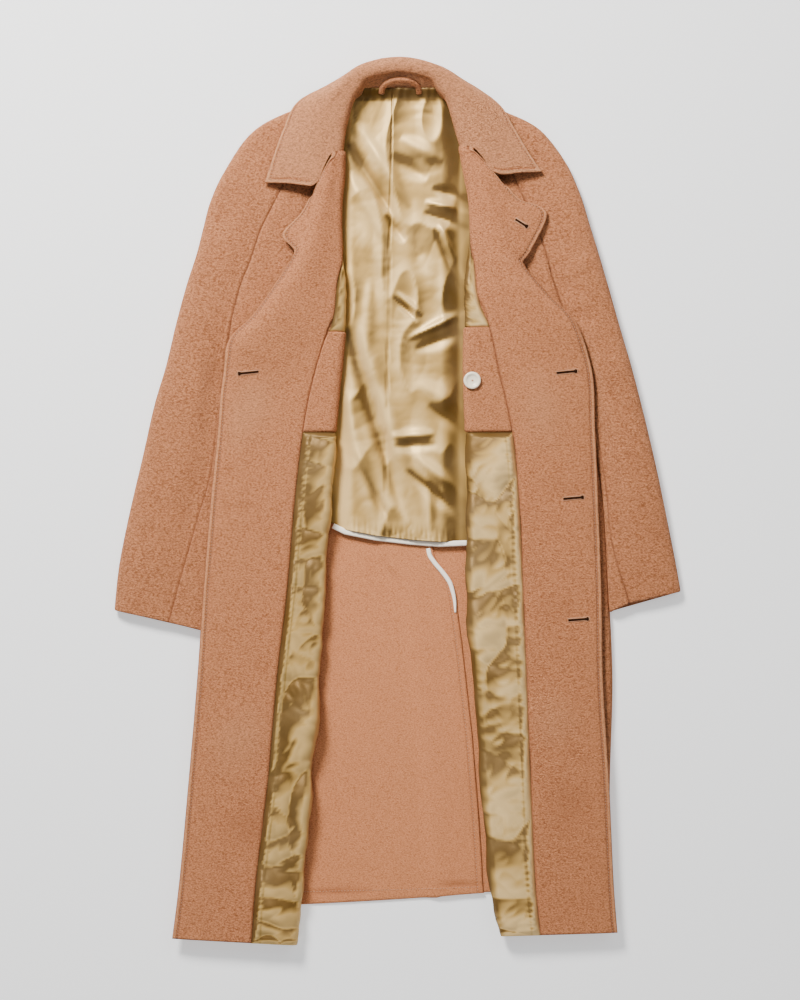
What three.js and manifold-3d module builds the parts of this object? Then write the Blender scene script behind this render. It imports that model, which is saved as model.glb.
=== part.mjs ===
import * as THREE from "three";
import { mergeVertices } from "three/addons/utils/BufferGeometryUtils.js";
import Module from "manifold-3d";

// A long double-breasted overcoat in thick camel wool, laid open on its back, with both fronts
// turned out so that their facings, the satin lining and the unlined lower back show.
// Millimetres. +Z is up from the surface it lies on, +Y runs from the hem to the collar, and X = 0
// is half way between the cuffs. The wearer's right side lies at -X, so right pieces are mirrored.

// Cloth and clearances
const WOOL = 3;
const FACING = 2.5;
const SATIN = 1;
const SEAM_GAP = 0.3;
const BINDING = 2.2;

// Heights of the pile of cloth above the surface it lies on
const LOWER_RUN = 13;
const SIDE_FOLD = 7.5;
const CUFF_MID = 8;
const FOLD_COVER = 5;

const COLOUR = { wool: 0xc58a68, inside: 0xb67c5a, satin: 0xb89a5f, cream: 0xeee6d8, button: 0xf0ead9 };

const wasm = await Module();
wasm.setup();

// A table is a list of rows under named columns.
const table = (columns, rows) =>
  rows.map((row) => Object.fromEntries(columns.map((name, i) => [name, row[i]])));

// One front, from the neck to the hem. Distances are outwards from the centre line.
// ySide, side, zSide: where the lower run starts, at the armhole and then at the side fold.
// yFold, fold, gap: the inner fold, where the front turns back, and how far it stands open.
// seamAt: where the facing's seam crosses the section, in stations. seam: its distance out.
// crest, zCrest, turn, zTurn: the soft ridge of the lapel. yEdge, edge, zEdge: the free edge.
const FRONT_COLUMNS = ["ySide", "side", "zSide", "yFold", "fold", "gap", "seamAt", "seam",
  "crest", "zCrest", "turn", "zTurn", "yEdge", "edge", "zEdge"];

const FRONT_RIGHT = table(FRONT_COLUMNS, [
  [514, 88.6, 13.5, 460, 69.3, 18, 3.6, 84.5, 85.5, 32, 86.6, 32.2, 458, 87.6, 32.3],
  [488, 117.8, 15, 444, 69.6, 17.5, 3.6, 86, 92, 33.5, 100, 32.8, 415, 106.5, 31],
  [439, 143.1, 17, 426, 70.6, 16.5, 3.6, 83, 95, 34, 106, 32, 398, 116, 28],
  [397, 164.4, 18, 395, 73.5, 15, 4.2, 85, 100, 34, 113, 30, 378, 130, 25],
  [359, 183, 19, 358, 73.9, 13, 5, 86, 109, 34, 124, 29, 354, 152.4, 22],
  [322, 195, 20, 325, 72, 11, 6, 84, 117, 34.5, 131, 30, 329, 131.8, 24.5],
  [289, 208.3, 20, 289, 68.6, 10, 8.4, 84, 139, 35.5, 155.5, 30, 289, 154.6, 25],
  [245, 219.6, 20, 245, 68.1, 9, 9, 85.3, 168, 35.5, 186.5, 30, 245, 186, 25],
  [208, 225.6, 17, 208, 71.3, 8, 9, 99.2, 194, 33, 219.8, 28, 208, 219.8, 23.5],
  [143, 233.4, 8.5, 156, 76.6, 7, 9, 113.8, 175, 22.5, 216, 23, 156, 233, 20],
  [93, 236.2, 7.5, 93, 82.6, 6.5, 9, 125.6, 176, 20.5, 218, 20, 93, 238.9, 17.5],
  [3, 241.5, 7.5, -4, 90.4, 6, 9, 136.9, 190, 20, 230, 19.5, -1, 248.2, 17.5],
  [-104, 248.2, 7.5, -117, 96.6, 6, 9, 146.4, 199, 20, 239, 19.5, -114, 257.5, 17.5],
  [-217, 254.8, 7.5, -237, 104.5, 6, 9, 160.4, 212, 20, 246, 19, -237, 266.1, 17],
  [-350, 260.1, 7.5, -370, 115.2, 6, 9, 172, 223, 19.5, 258, 18.5, -370, 277.4, 16.5],
  [-469, 262.8, 7.5, -503, 125.2, 6, 9, 187.7, 236, 19.5, 270, 18, -500, 289.4, 16],
  [-533, 262.8, 7.5, -588, 132.9, 6, 9, 193.9, 247, 19, 281, 18, -580, 299.3, 16],
]);

const FRONT_LEFT = table(FRONT_COLUMNS, [
  [514, 96.3, 13.5, 468, 81.7, 18, 3.6, 97, 98, 32, 99.2, 32.2, 466, 100.3, 32.3],
  [488, 125.6, 15, 451, 85, 17.5, 3.6, 101, 108, 33.5, 119, 32.8, 430, 130.9, 31],
  [447, 146.8, 17, 428, 89.5, 16.5, 3.6, 98, 110, 34, 124, 32, 416.5, 146.8, 28],
  [405, 166.8, 18, 402, 94.3, 15, 4.4, 101, 116, 34, 135, 30, 398, 166, 24],
  [373, 181.4, 19, 378, 95.4, 13, 5.4, 103, 126, 34, 146, 29, 382.6, 198, 23],
  [329, 197.4, 20, 335, 94, 11.5, 6.8, 99, 139, 34.5, 155, 29, 335, 176.8, 22.5],
  [298, 205.4, 20, 311, 91.5, 10.5, 8.2, 106, 149, 35.5, 162.3, 30, 311, 162.2, 25],
  [258, 218.7, 20, 269, 89.5, 9.5, 9, 108, 180, 35.5, 199, 30, 269, 198.6, 25],
  [222, 229.3, 16, 232, 88.7, 8.5, 9, 122, 209, 34, 232.8, 29, 232, 233.4, 24.5],
  [143, 249.1, 8.5, 173, 87.8, 7.5, 9, 135, 215, 25, 246, 25, 173, 257.5, 22.5],
  [93, 260, 7.5, 93, 90.3, 6.5, 9, 152.2, 205, 20.5, 243, 20.5, 93, 262.5, 18.5],
  [-4, 275, 7.5, -4, 92.3, 6, 9, 161.5, 210, 20, 249, 19.5, -1, 266.5, 17.5],
  [-117, 281.5, 7.5, -117, 91.6, 6, 9, 166.4, 216, 20, 255, 19.5, -114, 270.5, 17.5],
  [-237, 286.5, 7.5, -237, 100.7, 6, 9, 171.4, 220, 20, 257, 19, -237, 272.5, 17],
  [-363, 283.2, 7.5, -370, 110.9, 6, 9, 176.5, 227, 19.5, 265, 18.5, -370, 280.5, 16.5],
  [-463, 281.8, 7.5, -503, 122.9, 6, 9, 182.5, 232, 19.5, 272, 18, -503, 286.5, 16],
  [-520, 279.8, 7.5, -576, 136.2, 6, 9, 189.4, 237, 19, 277, 18, -572, 291.8, 16],
]);

// The row of the front's table that lies at the underarm, and the stations of its section
const UNDERARM = 9;
const SHOULDER = 7;
const LAST_ROW = FRONT_RIGHT.length - 1;
const SEAM_STATION = 9;
const EDGE_STATION = 12;

// Where the wool panel inside each front starts and ends, in rows of the front's table
const POCKET_ROWS = { right: [7.52, 10], left: [8, 10] };

// A sleeve, from the neck to the cuff. The first rows run from the armhole to the outer fold,
// and the rest from the inner fold. H is its height, and U the seam under the arm.
const SLEEVE_COLUMNS = ["yO", "O", "H", "yU", "U", "zU", "yI", "I"];
const SLEEVE_RIGHT = table(SLEEVE_COLUMNS, [
  [533.6, 95.2, 14],
  [518.3, 149.8, 16],
  [490.4, 196.3, 18],
  [440.5, 230.9, 20],
  [400.6, 249.5, 22],
  [364.7, 259.2, 24],
  [330, 268.1, 26],
  [288.9, 281.4, 26],
  [239.7, 294.7, 25],
  [181.1, 308.7, 25, 143, 234.9, 13.5, 143, 234.9],
  [129.3, 324, 25, 94, 240, 14, 93, 237.9],
  [53.5, 341.3, 24, 37.5, 248, 15.5, 30, 241.5],
  [-21, 358.6, 22, -25, 266.1, 17, -40, 246],
  [-84.9, 371.2, 20, -94.2, 286.1, 17.5, -108, 250.2],
  [-144.2, 377.5, 17, -160, 304, 16.5, -172.6, 254.8],
]);
const SLEEVE_LEFT = table(SLEEVE_COLUMNS, [
  [533.6, 102.9, 14],
  [519, 146.8, 16],
  [496.4, 189.4, 18],
  [455.1, 222.6, 20],
  [412.6, 242.6, 22],
  [368.7, 256.6, 24],
  [330.1, 268.5, 26],
  [282.2, 282.5, 26],
  [239.7, 294.5, 25],
  [175.8, 313.1, 25, 143, 250.6, 13.5, 143, 250.6],
  [110.7, 329.8, 25, 83, 265.6, 14, 82.7, 263.6],
  [45.5, 345, 24, 17, 276.4, 15, 16, 274.2],
  [-18.4, 358.3, 22, -45, 282.5, 16, -46, 279.3],
  [-71.6, 368.9, 20, -88.8, 293.5, 17, -95, 282],
  [-119.2, 377.5, 17, -134.7, 308.2, 16, -146.3, 284.8],
]);

// The collar, from the right front round the back of the neck to the left front. Each row gives
// the foot of its stand, the line where it rolls over, the middle of the leaf and the leaf's edge.
const COLLAR_COLUMNS = ["xNeck", "yNeck", "zNeck", "xRoll", "yRoll", "zRoll", "radius",
  "xMid", "yMid", "zMid", "xEdge", "yEdge", "zEdge"];
const COLLAR = table(COLLAR_COLUMNS, [
  [-78, 464, 15, -76.8, 463.9, 31.5, 9, -110.6, 419.8, 31, -176.5, 423, 22.5],
  [-79, 492, 14, -73.3, 493, 32, 9, -108, 470, 33, -165.5, 455, 23],
  [-76, 514, 14, -68, 515, 34, 9, -100, 508, 35, -151.8, 491, 21],
  [-69, 530, 12, -61.3, 535, 36, 8.5, -86, 535, 38, -135, 525, 19],
  [-58, 540, 8, -52, 549, 38, 8, -68, 556, 39, -93, 551, 8],
  [-43, 543.5, 5.5, -39.5, 563, 40, 7, -44.5, 574, 38, -46, 576, 4],
  [3.5, 544.5, 5, 3.5, 571.1, 41, 7, 3.5, 583.1, 38, 3.5, 582, 3],
  [48.5, 543.5, 5.5, 44, 563, 40, 7, 50, 573, 38, 53, 575, 4],
  [63, 540, 8, 57, 548.5, 38, 8, 76, 557, 39, 102, 549, 8],
  [75, 530, 12, 68.5, 534, 36, 8.5, 96, 534, 38, 137, 521, 19],
  [82, 514, 14, 75.7, 514, 34, 9, 107, 506, 35, 155, 493, 21],
  [84.5, 492, 15.5, 81.7, 492.5, 32, 9, 112, 475, 33, 174.8, 461, 23],
  [88, 472.5, 16.5, 88.7, 471.4, 31.5, 9, 132.8, 434, 31, 192, 437, 22.5],
]);

// The centre back: the seam, then the vent, whose right side overlaps the left side.
// under is where the lower layer ends, and over where the upper layer ends.
const CENTRE_COLUMNS = ["y", "under", "over"];
const CENTRE = table(CENTRE_COLUMNS, [
  [549, 3.5, 3.5], [470, 7, 7], [330, 14, 14], [180, 22, 22], [40, 30, 30], [-10, 32, 32],
  [-45, 34, 44], [-77, 35, 51], [-105, 36, 72.5], [-130, 37, 78.5], [-190, 40, 86.5],
  [-310, 46, 100], [-420, 52, 109], [-530, 58, 116],
]);
const VENT_TOP_Y = 10;

// The back's hem, from the right side fold to the left one
const HEM_COLUMNS = ["x", "y"];
const BACK_HEM = table(HEM_COLUMNS, [
  [-263, -533], [-190, -537], [-126, -539], [-50, -533], [30, -528.5], [113, -520.8], [200, -519], [280, -519.8],
]);

// The back lining: how far it reaches to each side, and the folds that it lies in
const LINING_COLUMNS = ["y", "right", "left"];
const BACK_LINING = table(LINING_COLUMNS, [
  [545.5, -47, 52], [530, -62, 70], [505, -80, 88], [460, -122, 128], [400, -150, 158], [320, -182, 186],
  [220, -206, 210], [143, -218, 232], [60, -224, 250], [-20, -228, 260], [-48, -228, 262],
]);
const LINING_HEM = table(HEM_COLUMNS, [
  [-228, -12], [-150, -16], [-100, -21], [-84, -29], [-70, -36], [-30, -44], [16, -49.5], [56, -52.5], [92, -51], [150, -44], [262, -30],
]);
const LINING_ROWS = 16;
const LINING_COLUMNS_BUILT = 14;
// Each fold is a soft ridge from one point to another
const FOLD_COLUMNS = ["x1", "y1", "x2", "y2", "width", "height"];
const LINING_FOLDS = table(FOLD_COLUMNS, [
  [-62, 440, -32, 340, 14, 7],
  [-34, 470, 40, 480, 14, 6],
  [70, 330, 16, 332, 10, 7],
  [60, 318, 84, 250, 9, 6],
  [-66, 260, 10, -30, 22, 9],
  [10, 20, 80, 60, 14, 5],
  [16, 260, 78, 190, 12, 5],
  [-10, 130, 60, 60, 12, 4],
]);

const BUTTONHOLE = { length: 28, width: 1.8, depth: 22 };
const BUTTONHOLE_COLUMNS = ["x", "y", "z", "turn"];
const BUTTONHOLES_LEFT = table(BUTTONHOLE_COLUMNS, [
  [224, 172.3, 28, 0.1], [233.3, 5.5, 27, 0.09], [239.9, -155.6, 27, 0.08], [164.1, 369.1, 32, -0.55],
]);
const BUTTONHOLES_RIGHT = table(BUTTONHOLE_COLUMNS, [[197.6, 171.3, 28, 0.1]]);

// The inside button, a dish with a raised rim. Its section runs out from the middle of its face.
const BUTTON = { radius: 11.5, x: 99, y: 161.3, z: 27.1, lean: -0.06 };
const BUTTON_SECTION = table(["share", "height"], [
  [0, 1.5], [0.42, 1.7], [0.6, 2.1], [0.68, 3.1], [0.82, 3.6], [0.95, 3.1], [1, 2.2], [0.96, 1], [0.8, 0.2], [0.6, 0], [0, 0],
]);

// The hanger loop lies against the collar's stand. along is measured across the coat from the
// middle of the neck, and up along the slope of the stand.
const LOOP = { x: 3.5, width: 8.5, near: 2.4, far: 5 };
const STAND_SLOPE = { y: 540.5, z: 8.5, rise: 29, depth: 25 };
const LOOP_PATH = table(["along", "up"], [
  [-25, 8.5], [-23.5, 17], [-18, 24.5], [-9, 29.3], [1, 30.5], [11, 29.3], [19.5, 24.5], [24, 17], [25, 8.5],
]);

// The binding along the edge of the vent, from the lining's hem down to where it runs out
const VENT_BINDING = table(["x", "y", "width"], [
  [41, -61.5, 6], [43, -71, 6], [50, -81.5, 6], [60.5, -94, 6], [69.5, -107, 6], [73.5, -119, 5.5], [76, -131, 4.5], [77, -147, 2.5],
]);
const LINING_BINDING = { width: 7.4, from: -78, to: 88 };

// The value of every column at a fractional row, on a smooth curve through the rows
function rowAt(rows, at) {
  const last = rows.length - 1;
  const i = Math.min(Math.max(Math.floor(at), 0), last - 1);
  const f = at - i;
  const pick = (n) => rows[Math.min(Math.max(n, 0), last)];
  const [a, b, c, d] = [pick(i - 1), pick(i), pick(i + 1), pick(i + 2)];
  const row = {};
  for (const name of Object.keys(b)) {
    if (b[name] === undefined) continue;
    const [p, q, r, s] = [a[name] ?? b[name], b[name], c[name] ?? b[name], d[name] ?? c[name] ?? b[name]];
    row[name] = q + 0.5 * f * (r - p + f * (2 * p - 5 * q + 4 * r - s + f * (3 * (q - r) + s - p)));
  }
  return row;
}

// A curve's height at x, through a table of x and y, in straight pieces
function heightAt(rows, from, to, at) {
  const i = rows.findIndex((row) => (rows[0][from] < rows[1][from] ? row[from] >= at : row[from] <= at));
  if (i === 0) return rows[0][to];
  if (i < 0) return rows[rows.length - 1][to];
  const [a, b] = [rows[i - 1], rows[i]];
  return a[to] + ((b[to] - a[to]) * (at - a[from])) / (b[from] - a[from]);
}

const steps = (from, to, count) =>
  Array.from({ length: count + 1 }, (_, i) => from + ((to - from) * i) / count);
const point = (x, y, z) => new THREE.Vector3(x, y, z);
const mix = (a, b, t) => a + (b - a) * t;
const section = (points) => new THREE.CatmullRomCurve3(points, false, "centripetal");
const stationPoint = (curve, station) =>
  curve.getPoint(Math.min(Math.max(station / (curve.points.length - 1), 0), 1));

// The surface through a grid of points: each point with the surface's normal there, which is the
// cross product of the direction along the rows and the direction across them. A point marked
// open has no neighbour in the next column.
function surface(grid) {
  const last = { row: grid.length - 1, column: grid[0].length - 1 };
  const along = (i, j) => grid[Math.min(i + 1, last.row)][j].clone().sub(grid[Math.max(i - 1, 0)][j]);
  const tangent = (a, b, c) => a.clone().multiplyScalar(-3).addScaledVector(b, 4).sub(c);
  const across = (line, j) => {
    if (j === 0 || line[j - 1].open) return tangent(line[j], line[j + 1], line[j + 2]);
    if (j === last.column || line[j].open) return tangent(line[j], line[j - 1], line[j - 2]).negate();
    return line[j + 1].clone().sub(line[j - 1]);
  };
  return grid.map((line, i) =>
    line.map((p, j) => ({ p, n: along(i, j).cross(across(line, j)).normalize() })));
}

// The point at a distance from a surface, at a place between its rows and columns
function offsetPoint(sheet, row, column, distance) {
  const i = Math.min(Math.floor(row), sheet.length - 2);
  const j = Math.min(Math.floor(column), sheet[0].length - 2);
  const at = (n, m) => sheet[n][m].p.clone().addScaledVector(sheet[n][m].n, distance);
  const near = at(i, j).lerp(at(i, j + 1), column - j);
  return near.lerp(at(i + 1, j).lerp(at(i + 1, j + 1), column - j), row - i);
}

// A wall of cloth between two distances from a surface, over the rows and columns given. The
// columns may be a function of the row.
function clothWall(sheet, rows, columns, near, far, mirrored = false) {
  const lists = rows.map((row) => (typeof columns === "function" ? columns(row) : columns));
  const width = lists[0].length;
  const positions = [];
  for (const distance of [far, near]) {
    rows.forEach((row, i) => {
      for (const column of lists[i]) {
        const p = offsetPoint(sheet, row, column, distance);
        positions.push(mirrored ? -p.x : p.x, p.y, p.z);
      }
    });
  }
  const top = (i, j) => i * width + j;
  const under = (i, j) => rows.length * width + top(i, j);
  const index = [];
  const quad = (a, b, c, d) => index.push(...(mirrored ? [a, c, b, a, d, c] : [a, b, c, a, c, d]));
  const lastRow = rows.length - 1;
  for (let i = 0; i < lastRow; i++) {
    for (let j = 0; j + 1 < width; j++) {
      quad(top(i, j), top(i + 1, j), top(i + 1, j + 1), top(i, j + 1));
      quad(under(i, j), under(i, j + 1), under(i + 1, j + 1), under(i + 1, j));
    }
    quad(top(i, 0), under(i, 0), under(i + 1, 0), top(i + 1, 0));
    quad(top(i, width - 1), top(i + 1, width - 1), under(i + 1, width - 1), under(i, width - 1));
  }
  for (let j = 0; j + 1 < width; j++) {
    quad(top(0, j), top(0, j + 1), under(0, j + 1), under(0, j));
    quad(top(lastRow, j), under(lastRow, j), under(lastRow, j + 1), top(lastRow, j + 1));
  }
  const geometry = new THREE.BufferGeometry();
  geometry.setAttribute("position", new THREE.Float32BufferAttribute(positions, 3));
  geometry.setIndex(index);
  return geometry;
}

// Every whole number between two places, with the places themselves at the ends
const run = (from, to) => [
  from,
  ...Array.from({ length: 200 }, (_, i) => i).filter((i) => i > from + 0.05 && i < to - 0.05),
  to,
];

const coat = new THREE.Group();

function addPiece(name, geometry, colour, roughness = 0.95) {
  geometry.computeVertexNormals();
  const material = new THREE.MeshStandardMaterial({ color: colour, roughness, metalness: 0 });
  const mesh = new THREE.Mesh(geometry, material);
  mesh.name = name;
  coat.add(mesh);
  return mesh;
}

// The section of one front at a row: in from the side, round the inner fold, out to the free edge.
// The face given is the one inside the fold, so the cloth, facing and lining all lie outside it.
function frontSection(rows, at) {
  const r = rowAt(rows, at);
  const fold = r.fold + FOLD_COVER;
  const radius = r.gap / 2;
  const closed = at >= UNDERARM - 0.25;
  const yLower = (out) => mix(r.ySide, r.yFold, (r.side - out) / (r.side - fold));
  const lower = (out, z) => point(out, yLower(out), z);
  const points = [point(r.side, r.ySide, r.zSide)];
  points.push(closed ? lower(r.side - 1.2, mix(r.zSide, LOWER_RUN, 0.55)) : lower(r.side - 3, r.zSide));
  points.push(closed ? lower(r.side - 4.8, mix(r.zSide, LOWER_RUN, 0.9)) : lower(r.side - 8, r.zSide));
  points.push(lower(mix(r.side, fold + radius, 0.45), closed ? LOWER_RUN : mix(LOWER_RUN, r.zSide, 0.35)));
  for (const angle of steps(-90, -270, 4)) {
    const turn = THREE.MathUtils.degToRad(angle);
    const z = LOWER_RUN + radius + radius * Math.sin(turn);
    points.push(point(fold + radius + radius * Math.cos(turn), r.yFold, z));
  }
  const start = fold + radius;
  const upper = (out, z) => point(out, mix(r.yFold, r.yEdge, Math.min((out - start) / (r.edge - start), 1)), z);
  points.push(upper(Math.max(r.seam, start + 1), LOWER_RUN + r.gap + 0.5));
  points.push(upper(r.crest, r.zCrest), upper(r.turn, r.zTurn), point(r.edge, r.yEdge, r.zEdge));
  return section(points);
}

// The columns of a front run from the side to the facing's seam, then from it to the free edge
const TO_SEAM = [0, 1, 2, 3, 4, 5, 6, 7, 8, 9];
const TO_EDGE = [0, 0.04, 0.15, 0.27, 0.38, 0.5, 0.62, 0.75, 0.88, 1];
const SEAM_COLUMN = TO_SEAM.length - 1;
const EDGE_COLUMN = SEAM_COLUMN + TO_EDGE.length - 1;
const SEAM_NUDGE = 0.035;

function frontSurface(rows, lines) {
  return surface(lines.map((at) => {
    const curve = frontSection(rows, at);
    const seam = rowAt(rows, at).seamAt;
    const stations = TO_SEAM.map((s) => (s * seam) / SEAM_STATION);
    const beyond = TO_EDGE.slice(1).map((share) => mix(seam, EDGE_STATION, share));
    return [...stations, ...beyond].map((station) => stationPoint(curve, station));
  }));
}

function solidOf(geometry) {
  const bare = geometry.clone();
  for (const name of ["normal", "uv"]) bare.deleteAttribute(name);
  const merged = mergeVertices(bare, 1e-3);
  return new wasm.Manifold(new wasm.Mesh({
    numProp: 3,
    vertProperties: merged.attributes.position.array,
    triVerts: new Uint32Array(merged.index.array),
  }));
}

function cutButtonholes(geometry, holes, mirrored) {
  let solid = solidOf(geometry);
  for (const hole of holes) {
    const slot = new THREE.BoxGeometry(BUTTONHOLE.length, BUTTONHOLE.width, BUTTONHOLE.depth);
    slot.rotateZ(mirrored ? -hole.turn : hole.turn);
    slot.translate(mirrored ? -hole.x : hole.x, hole.y, hole.z);
    solid = solid.subtract(solidOf(slot));
  }
  const cut = solid.getMesh();
  const made = new THREE.BufferGeometry();
  made.setAttribute("position", new THREE.Float32BufferAttribute(cut.vertProperties, 3));
  made.setIndex([...cut.triVerts]);
  return made;
}

// The rows of the front's table that are built, with two lines to a row over the shoulder
const SHOULDER_LINES = steps(0, SHOULDER, 2 * SHOULDER);
const ARM_LINES = [...SHOULDER_LINES, ...steps(SHOULDER + 1, UNDERARM, UNDERARM - SHOULDER - 1)];
const FRONT_LINES = [...ARM_LINES, ...steps(UNDERARM + 1, LAST_ROW, LAST_ROW - UNDERARM - 1)];
const lineOf = (row) => (row <= SHOULDER ? 2 * row : SHOULDER + row);

function addFront(side, rows, holes) {
  const mirrored = side === "right";
  const sheet = frontSurface(rows, FRONT_LINES);
  const [pocketTop, pocketFoot] = POCKET_ROWS[side].map(lineOf);
  const last = FRONT_LINES.length - 1;
  const behind = WOOL + SEAM_GAP;
  const wall = (lines, columns, near, far) => clothWall(sheet, lines, columns, near, far, mirrored);

  const panel = wall(run(0, last), run(0, EDGE_COLUMN), 0, WOOL);
  addPiece(`front_${side}`, cutButtonholes(panel, holes, mirrored), COLOUR.wool);
  const facing = wall(run(0, last), run(SEAM_COLUMN + 0.25, EDGE_COLUMN), behind, behind + FACING);
  addPiece(`facing_${side}`, cutButtonholes(facing, holes, mirrored), COLOUR.wool);

  const upper = wall(run(3, pocketTop - SEAM_NUDGE), run(1, SEAM_COLUMN - SEAM_NUDGE), behind, behind + SATIN);
  addPiece(`lining_upper_${side}`, upper, COLOUR.satin, 0.4);
  const patch = wall(run(pocketTop, pocketFoot), run(3.2, SEAM_COLUMN - SEAM_NUDGE), behind, behind + FACING);
  addPiece(`pocket_panel_${side}`, patch, COLOUR.wool);
  const lower = wall(run(pocketFoot + SEAM_NUDGE, last), run(2.2, SEAM_COLUMN - SEAM_NUDGE), behind, behind + SATIN);
  addPiece(`lining_lower_${side}`, lower, COLOUR.satin, 0.4);
}

// The places along a sleeve's section, all of them points of its surface. Rise is the share of
// its height, and reach is how far the rounded outer fold goes in.
const SLEEVE_SHARES = table(["reach", "rise"], [[0, 0], [0.05, 0.38], [0.2, 0.7], [0.55, 0.93], [1, 1]]);
const SLEEVE_TOP_COLUMN = 8;

function sleeveSurface(front, sleeve, lines) {
  return surface(lines.map((at) => {
    const s = rowAt(sleeve, at);
    const a = rowAt(front, Math.min(at, UNDERARM));
    const closed = at >= UNDERARM;
    const outer = point(s.O, s.yO, CUFF_MID);
    const seam = closed ? point(s.U, s.yU, s.zU) : point(a.side + SEAM_GAP, a.ySide, a.zSide);
    const foot = closed ? point(s.I, s.yI, 0) : point(a.side + SEAM_GAP, a.ySide, 0);
    const width = Math.hypot(seam.x - outer.x, seam.y - outer.y);
    const reach = Math.min(22, 0.4 * width) / width;
    const top = SLEEVE_SHARES.map(({ reach: share, rise }) =>
      outer.clone().lerp(seam, share * reach).setZ(mix(CUFF_MID, s.H, rise)));
    top.push(outer.clone().lerp(seam, 0.6).setZ(s.H));
    top.push(outer.clone().lerp(seam, 0.86).setZ(mix(seam.z, s.H, 0.18)));
    top.push(outer.clone().lerp(seam, 0.95).setZ(mix(seam.z, s.H, 0.04)));
    seam.open = !closed;
    const inner = (share, z) => foot.clone().lerp(outer, share).setZ(z);
    const turn = closed
      ? [inner(0.008, mix(CUFF_MID, seam.z, 0.55)), inner(0, mix(0, CUFF_MID, 0.8)), inner(0.03, 1.8), inner(0.12, 0)]
      : [inner(0, 0), inner(0.03, 0), inner(0.07, 0), inner(0.12, 0)];
    const flat = [inner(0.4, 0), inner(0.75, 0), inner(0.88, 0)];
    const end = [inner(0.965, 1.6), inner(0.99, 4.6), outer.clone()];
    return [...top, seam, ...turn, ...flat, ...end];
  }));
}

function addSleeve(side, front, sleeve) {
  const mirrored = side === "right";
  const last = sleeve.length - 1;
  const lines = [...steps(last, UNDERARM + 1, last - UNDERARM - 1), ...[...ARM_LINES].reverse()];
  const sheet = sleeveSurface(front, sleeve, lines);
  const end = sheet[0].length - 1;
  const rows = run(0, lines.length - 1);
  const top = clothWall(sheet, rows, run(0.08, SLEEVE_TOP_COLUMN - 0.15), -WOOL, 0, mirrored);
  addPiece(`sleeve_top_${side}`, top, COLOUR.wool);
  const closedLast = last - UNDERARM;
  const underColumns = (row) => {
    const from = row <= closedLast ? SLEEVE_TOP_COLUMN + 0.2 : SLEEVE_TOP_COLUMN + 1;
    return [from, (from + SLEEVE_TOP_COLUMN + 2) / 2, ...run(SLEEVE_TOP_COLUMN + 2, end - 0.08)];
  };
  addPiece(`sleeve_under_${side}`, clothWall(sheet, rows, underColumns, -WOOL, 0, mirrored), COLOUR.wool);
}

// The section of the collar at a row: up its stand, over the roll and out along the leaf
function collarSection(at) {
  const r = rowAt(COLLAR, at);
  const mid = point(r.xMid, r.yMid, r.zMid);
  const edge = point(r.xEdge, r.yEdge, r.zEdge);
  const out = mid.clone().sub(point(r.xRoll, r.yRoll, r.zMid));
  out.y *= THREE.MathUtils.smoothstep(Math.min(at, COLLAR.length - 1 - at), 0, 3);
  out.normalize();
  const points = [point(r.xNeck, r.yNeck, r.zNeck)];
  for (const angle of [180, 135, 90]) {
    const turn = THREE.MathUtils.degToRad(angle);
    const p = point(r.xRoll, r.yRoll, r.zRoll - r.radius + r.radius * Math.sin(turn));
    points.push(p.addScaledVector(out, r.radius * (1 + Math.cos(turn))));
  }
  points.push(points[3].clone().lerp(mid, 0.5));
  points.push(mid, mid.clone().lerp(edge, 0.5).setZ(mix(r.zMid, r.zEdge, 0.42)), edge);
  return points;
}

function addCollar() {
  const lines = steps(0, COLLAR.length - 1, 20);
  const sheet = surface(lines.map((at) => collarSection(at)));
  const [rows, columns] = [run(0, lines.length - 1), run(0, sheet[0].length - 1)];
  addPiece("under_collar", clothWall(sheet, rows, columns, 0, FACING), COLOUR.wool);
  addPiece("upper_collar", clothWall(sheet, rows, columns, FACING + SEAM_GAP, 2 * FACING + SEAM_GAP), COLOUR.wool);
}

// How much higher the back of the neck lies than the ends of the shoulders, across the coat
const NECK_RISE = table(["out", "rise"], [[0, 31], [35, 30], [52, 26], [66, 17], [80, 5], [90, 0], [400, 0]]);

// One half of the back, flat on the surface, with its side rolled up towards the front
function addBack(side, front) {
  const mirrored = side === "right";
  const sheet = surface(FRONT_LINES.map((row) => {
    const r = rowAt(front, row);
    const closed = row >= UNDERARM;
    const from = r.side - (closed ? 0 : SEAM_GAP);
    const end = mirrored ? SEAM_GAP - heightAt(CENTRE, "y", "over", r.ySide) : heightAt(CENTRE, "y", "under", r.ySide);
    const lift = mirrored && r.ySide < VENT_TOP_Y ? WOOL + SEAM_GAP : 0;
    const scale = Math.min(1, (from - end) / 150);
    const yAt = (out) => {
      if (row === LAST_ROW) return heightAt(BACK_HEM, "x", "y", mirrored ? -out : out);
      const rise = heightAt(NECK_RISE, "out", "rise", Math.abs(out + (mirrored ? 3.5 : -3.5)));
      return r.ySide + rise * Math.max(0, 1 - row / 3);
    };
    const heights = closed ? [SIDE_FOLD - SEAM_GAP, 4.2, 1.2, 0] : [0, 0, 0, 0];
    const insets = closed ? [0, 1.2, 4.8, 12] : [0, 3, 7, 12];
    const points = insets.map((inset, i) => [from - inset, heights[i]]);
    for (const share of [0.3, 0.65]) points.push([mix(from - 12, end + 76 * scale, share), 0]);
    points.push([end + 76 * scale, 0]);
    for (const back of [64, 30, 0]) points.push([end + back * scale, lift]);
    return points.map(([out, z]) => point(out, yAt(out), z));
  }));
  const panel = clothWall(sheet, run(0, FRONT_LINES.length - 1), run(0, sheet[0].length - 1), -WOOL, 0, mirrored);
  addPiece(`back_${side}`, panel, COLOUR.inside);
}

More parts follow.
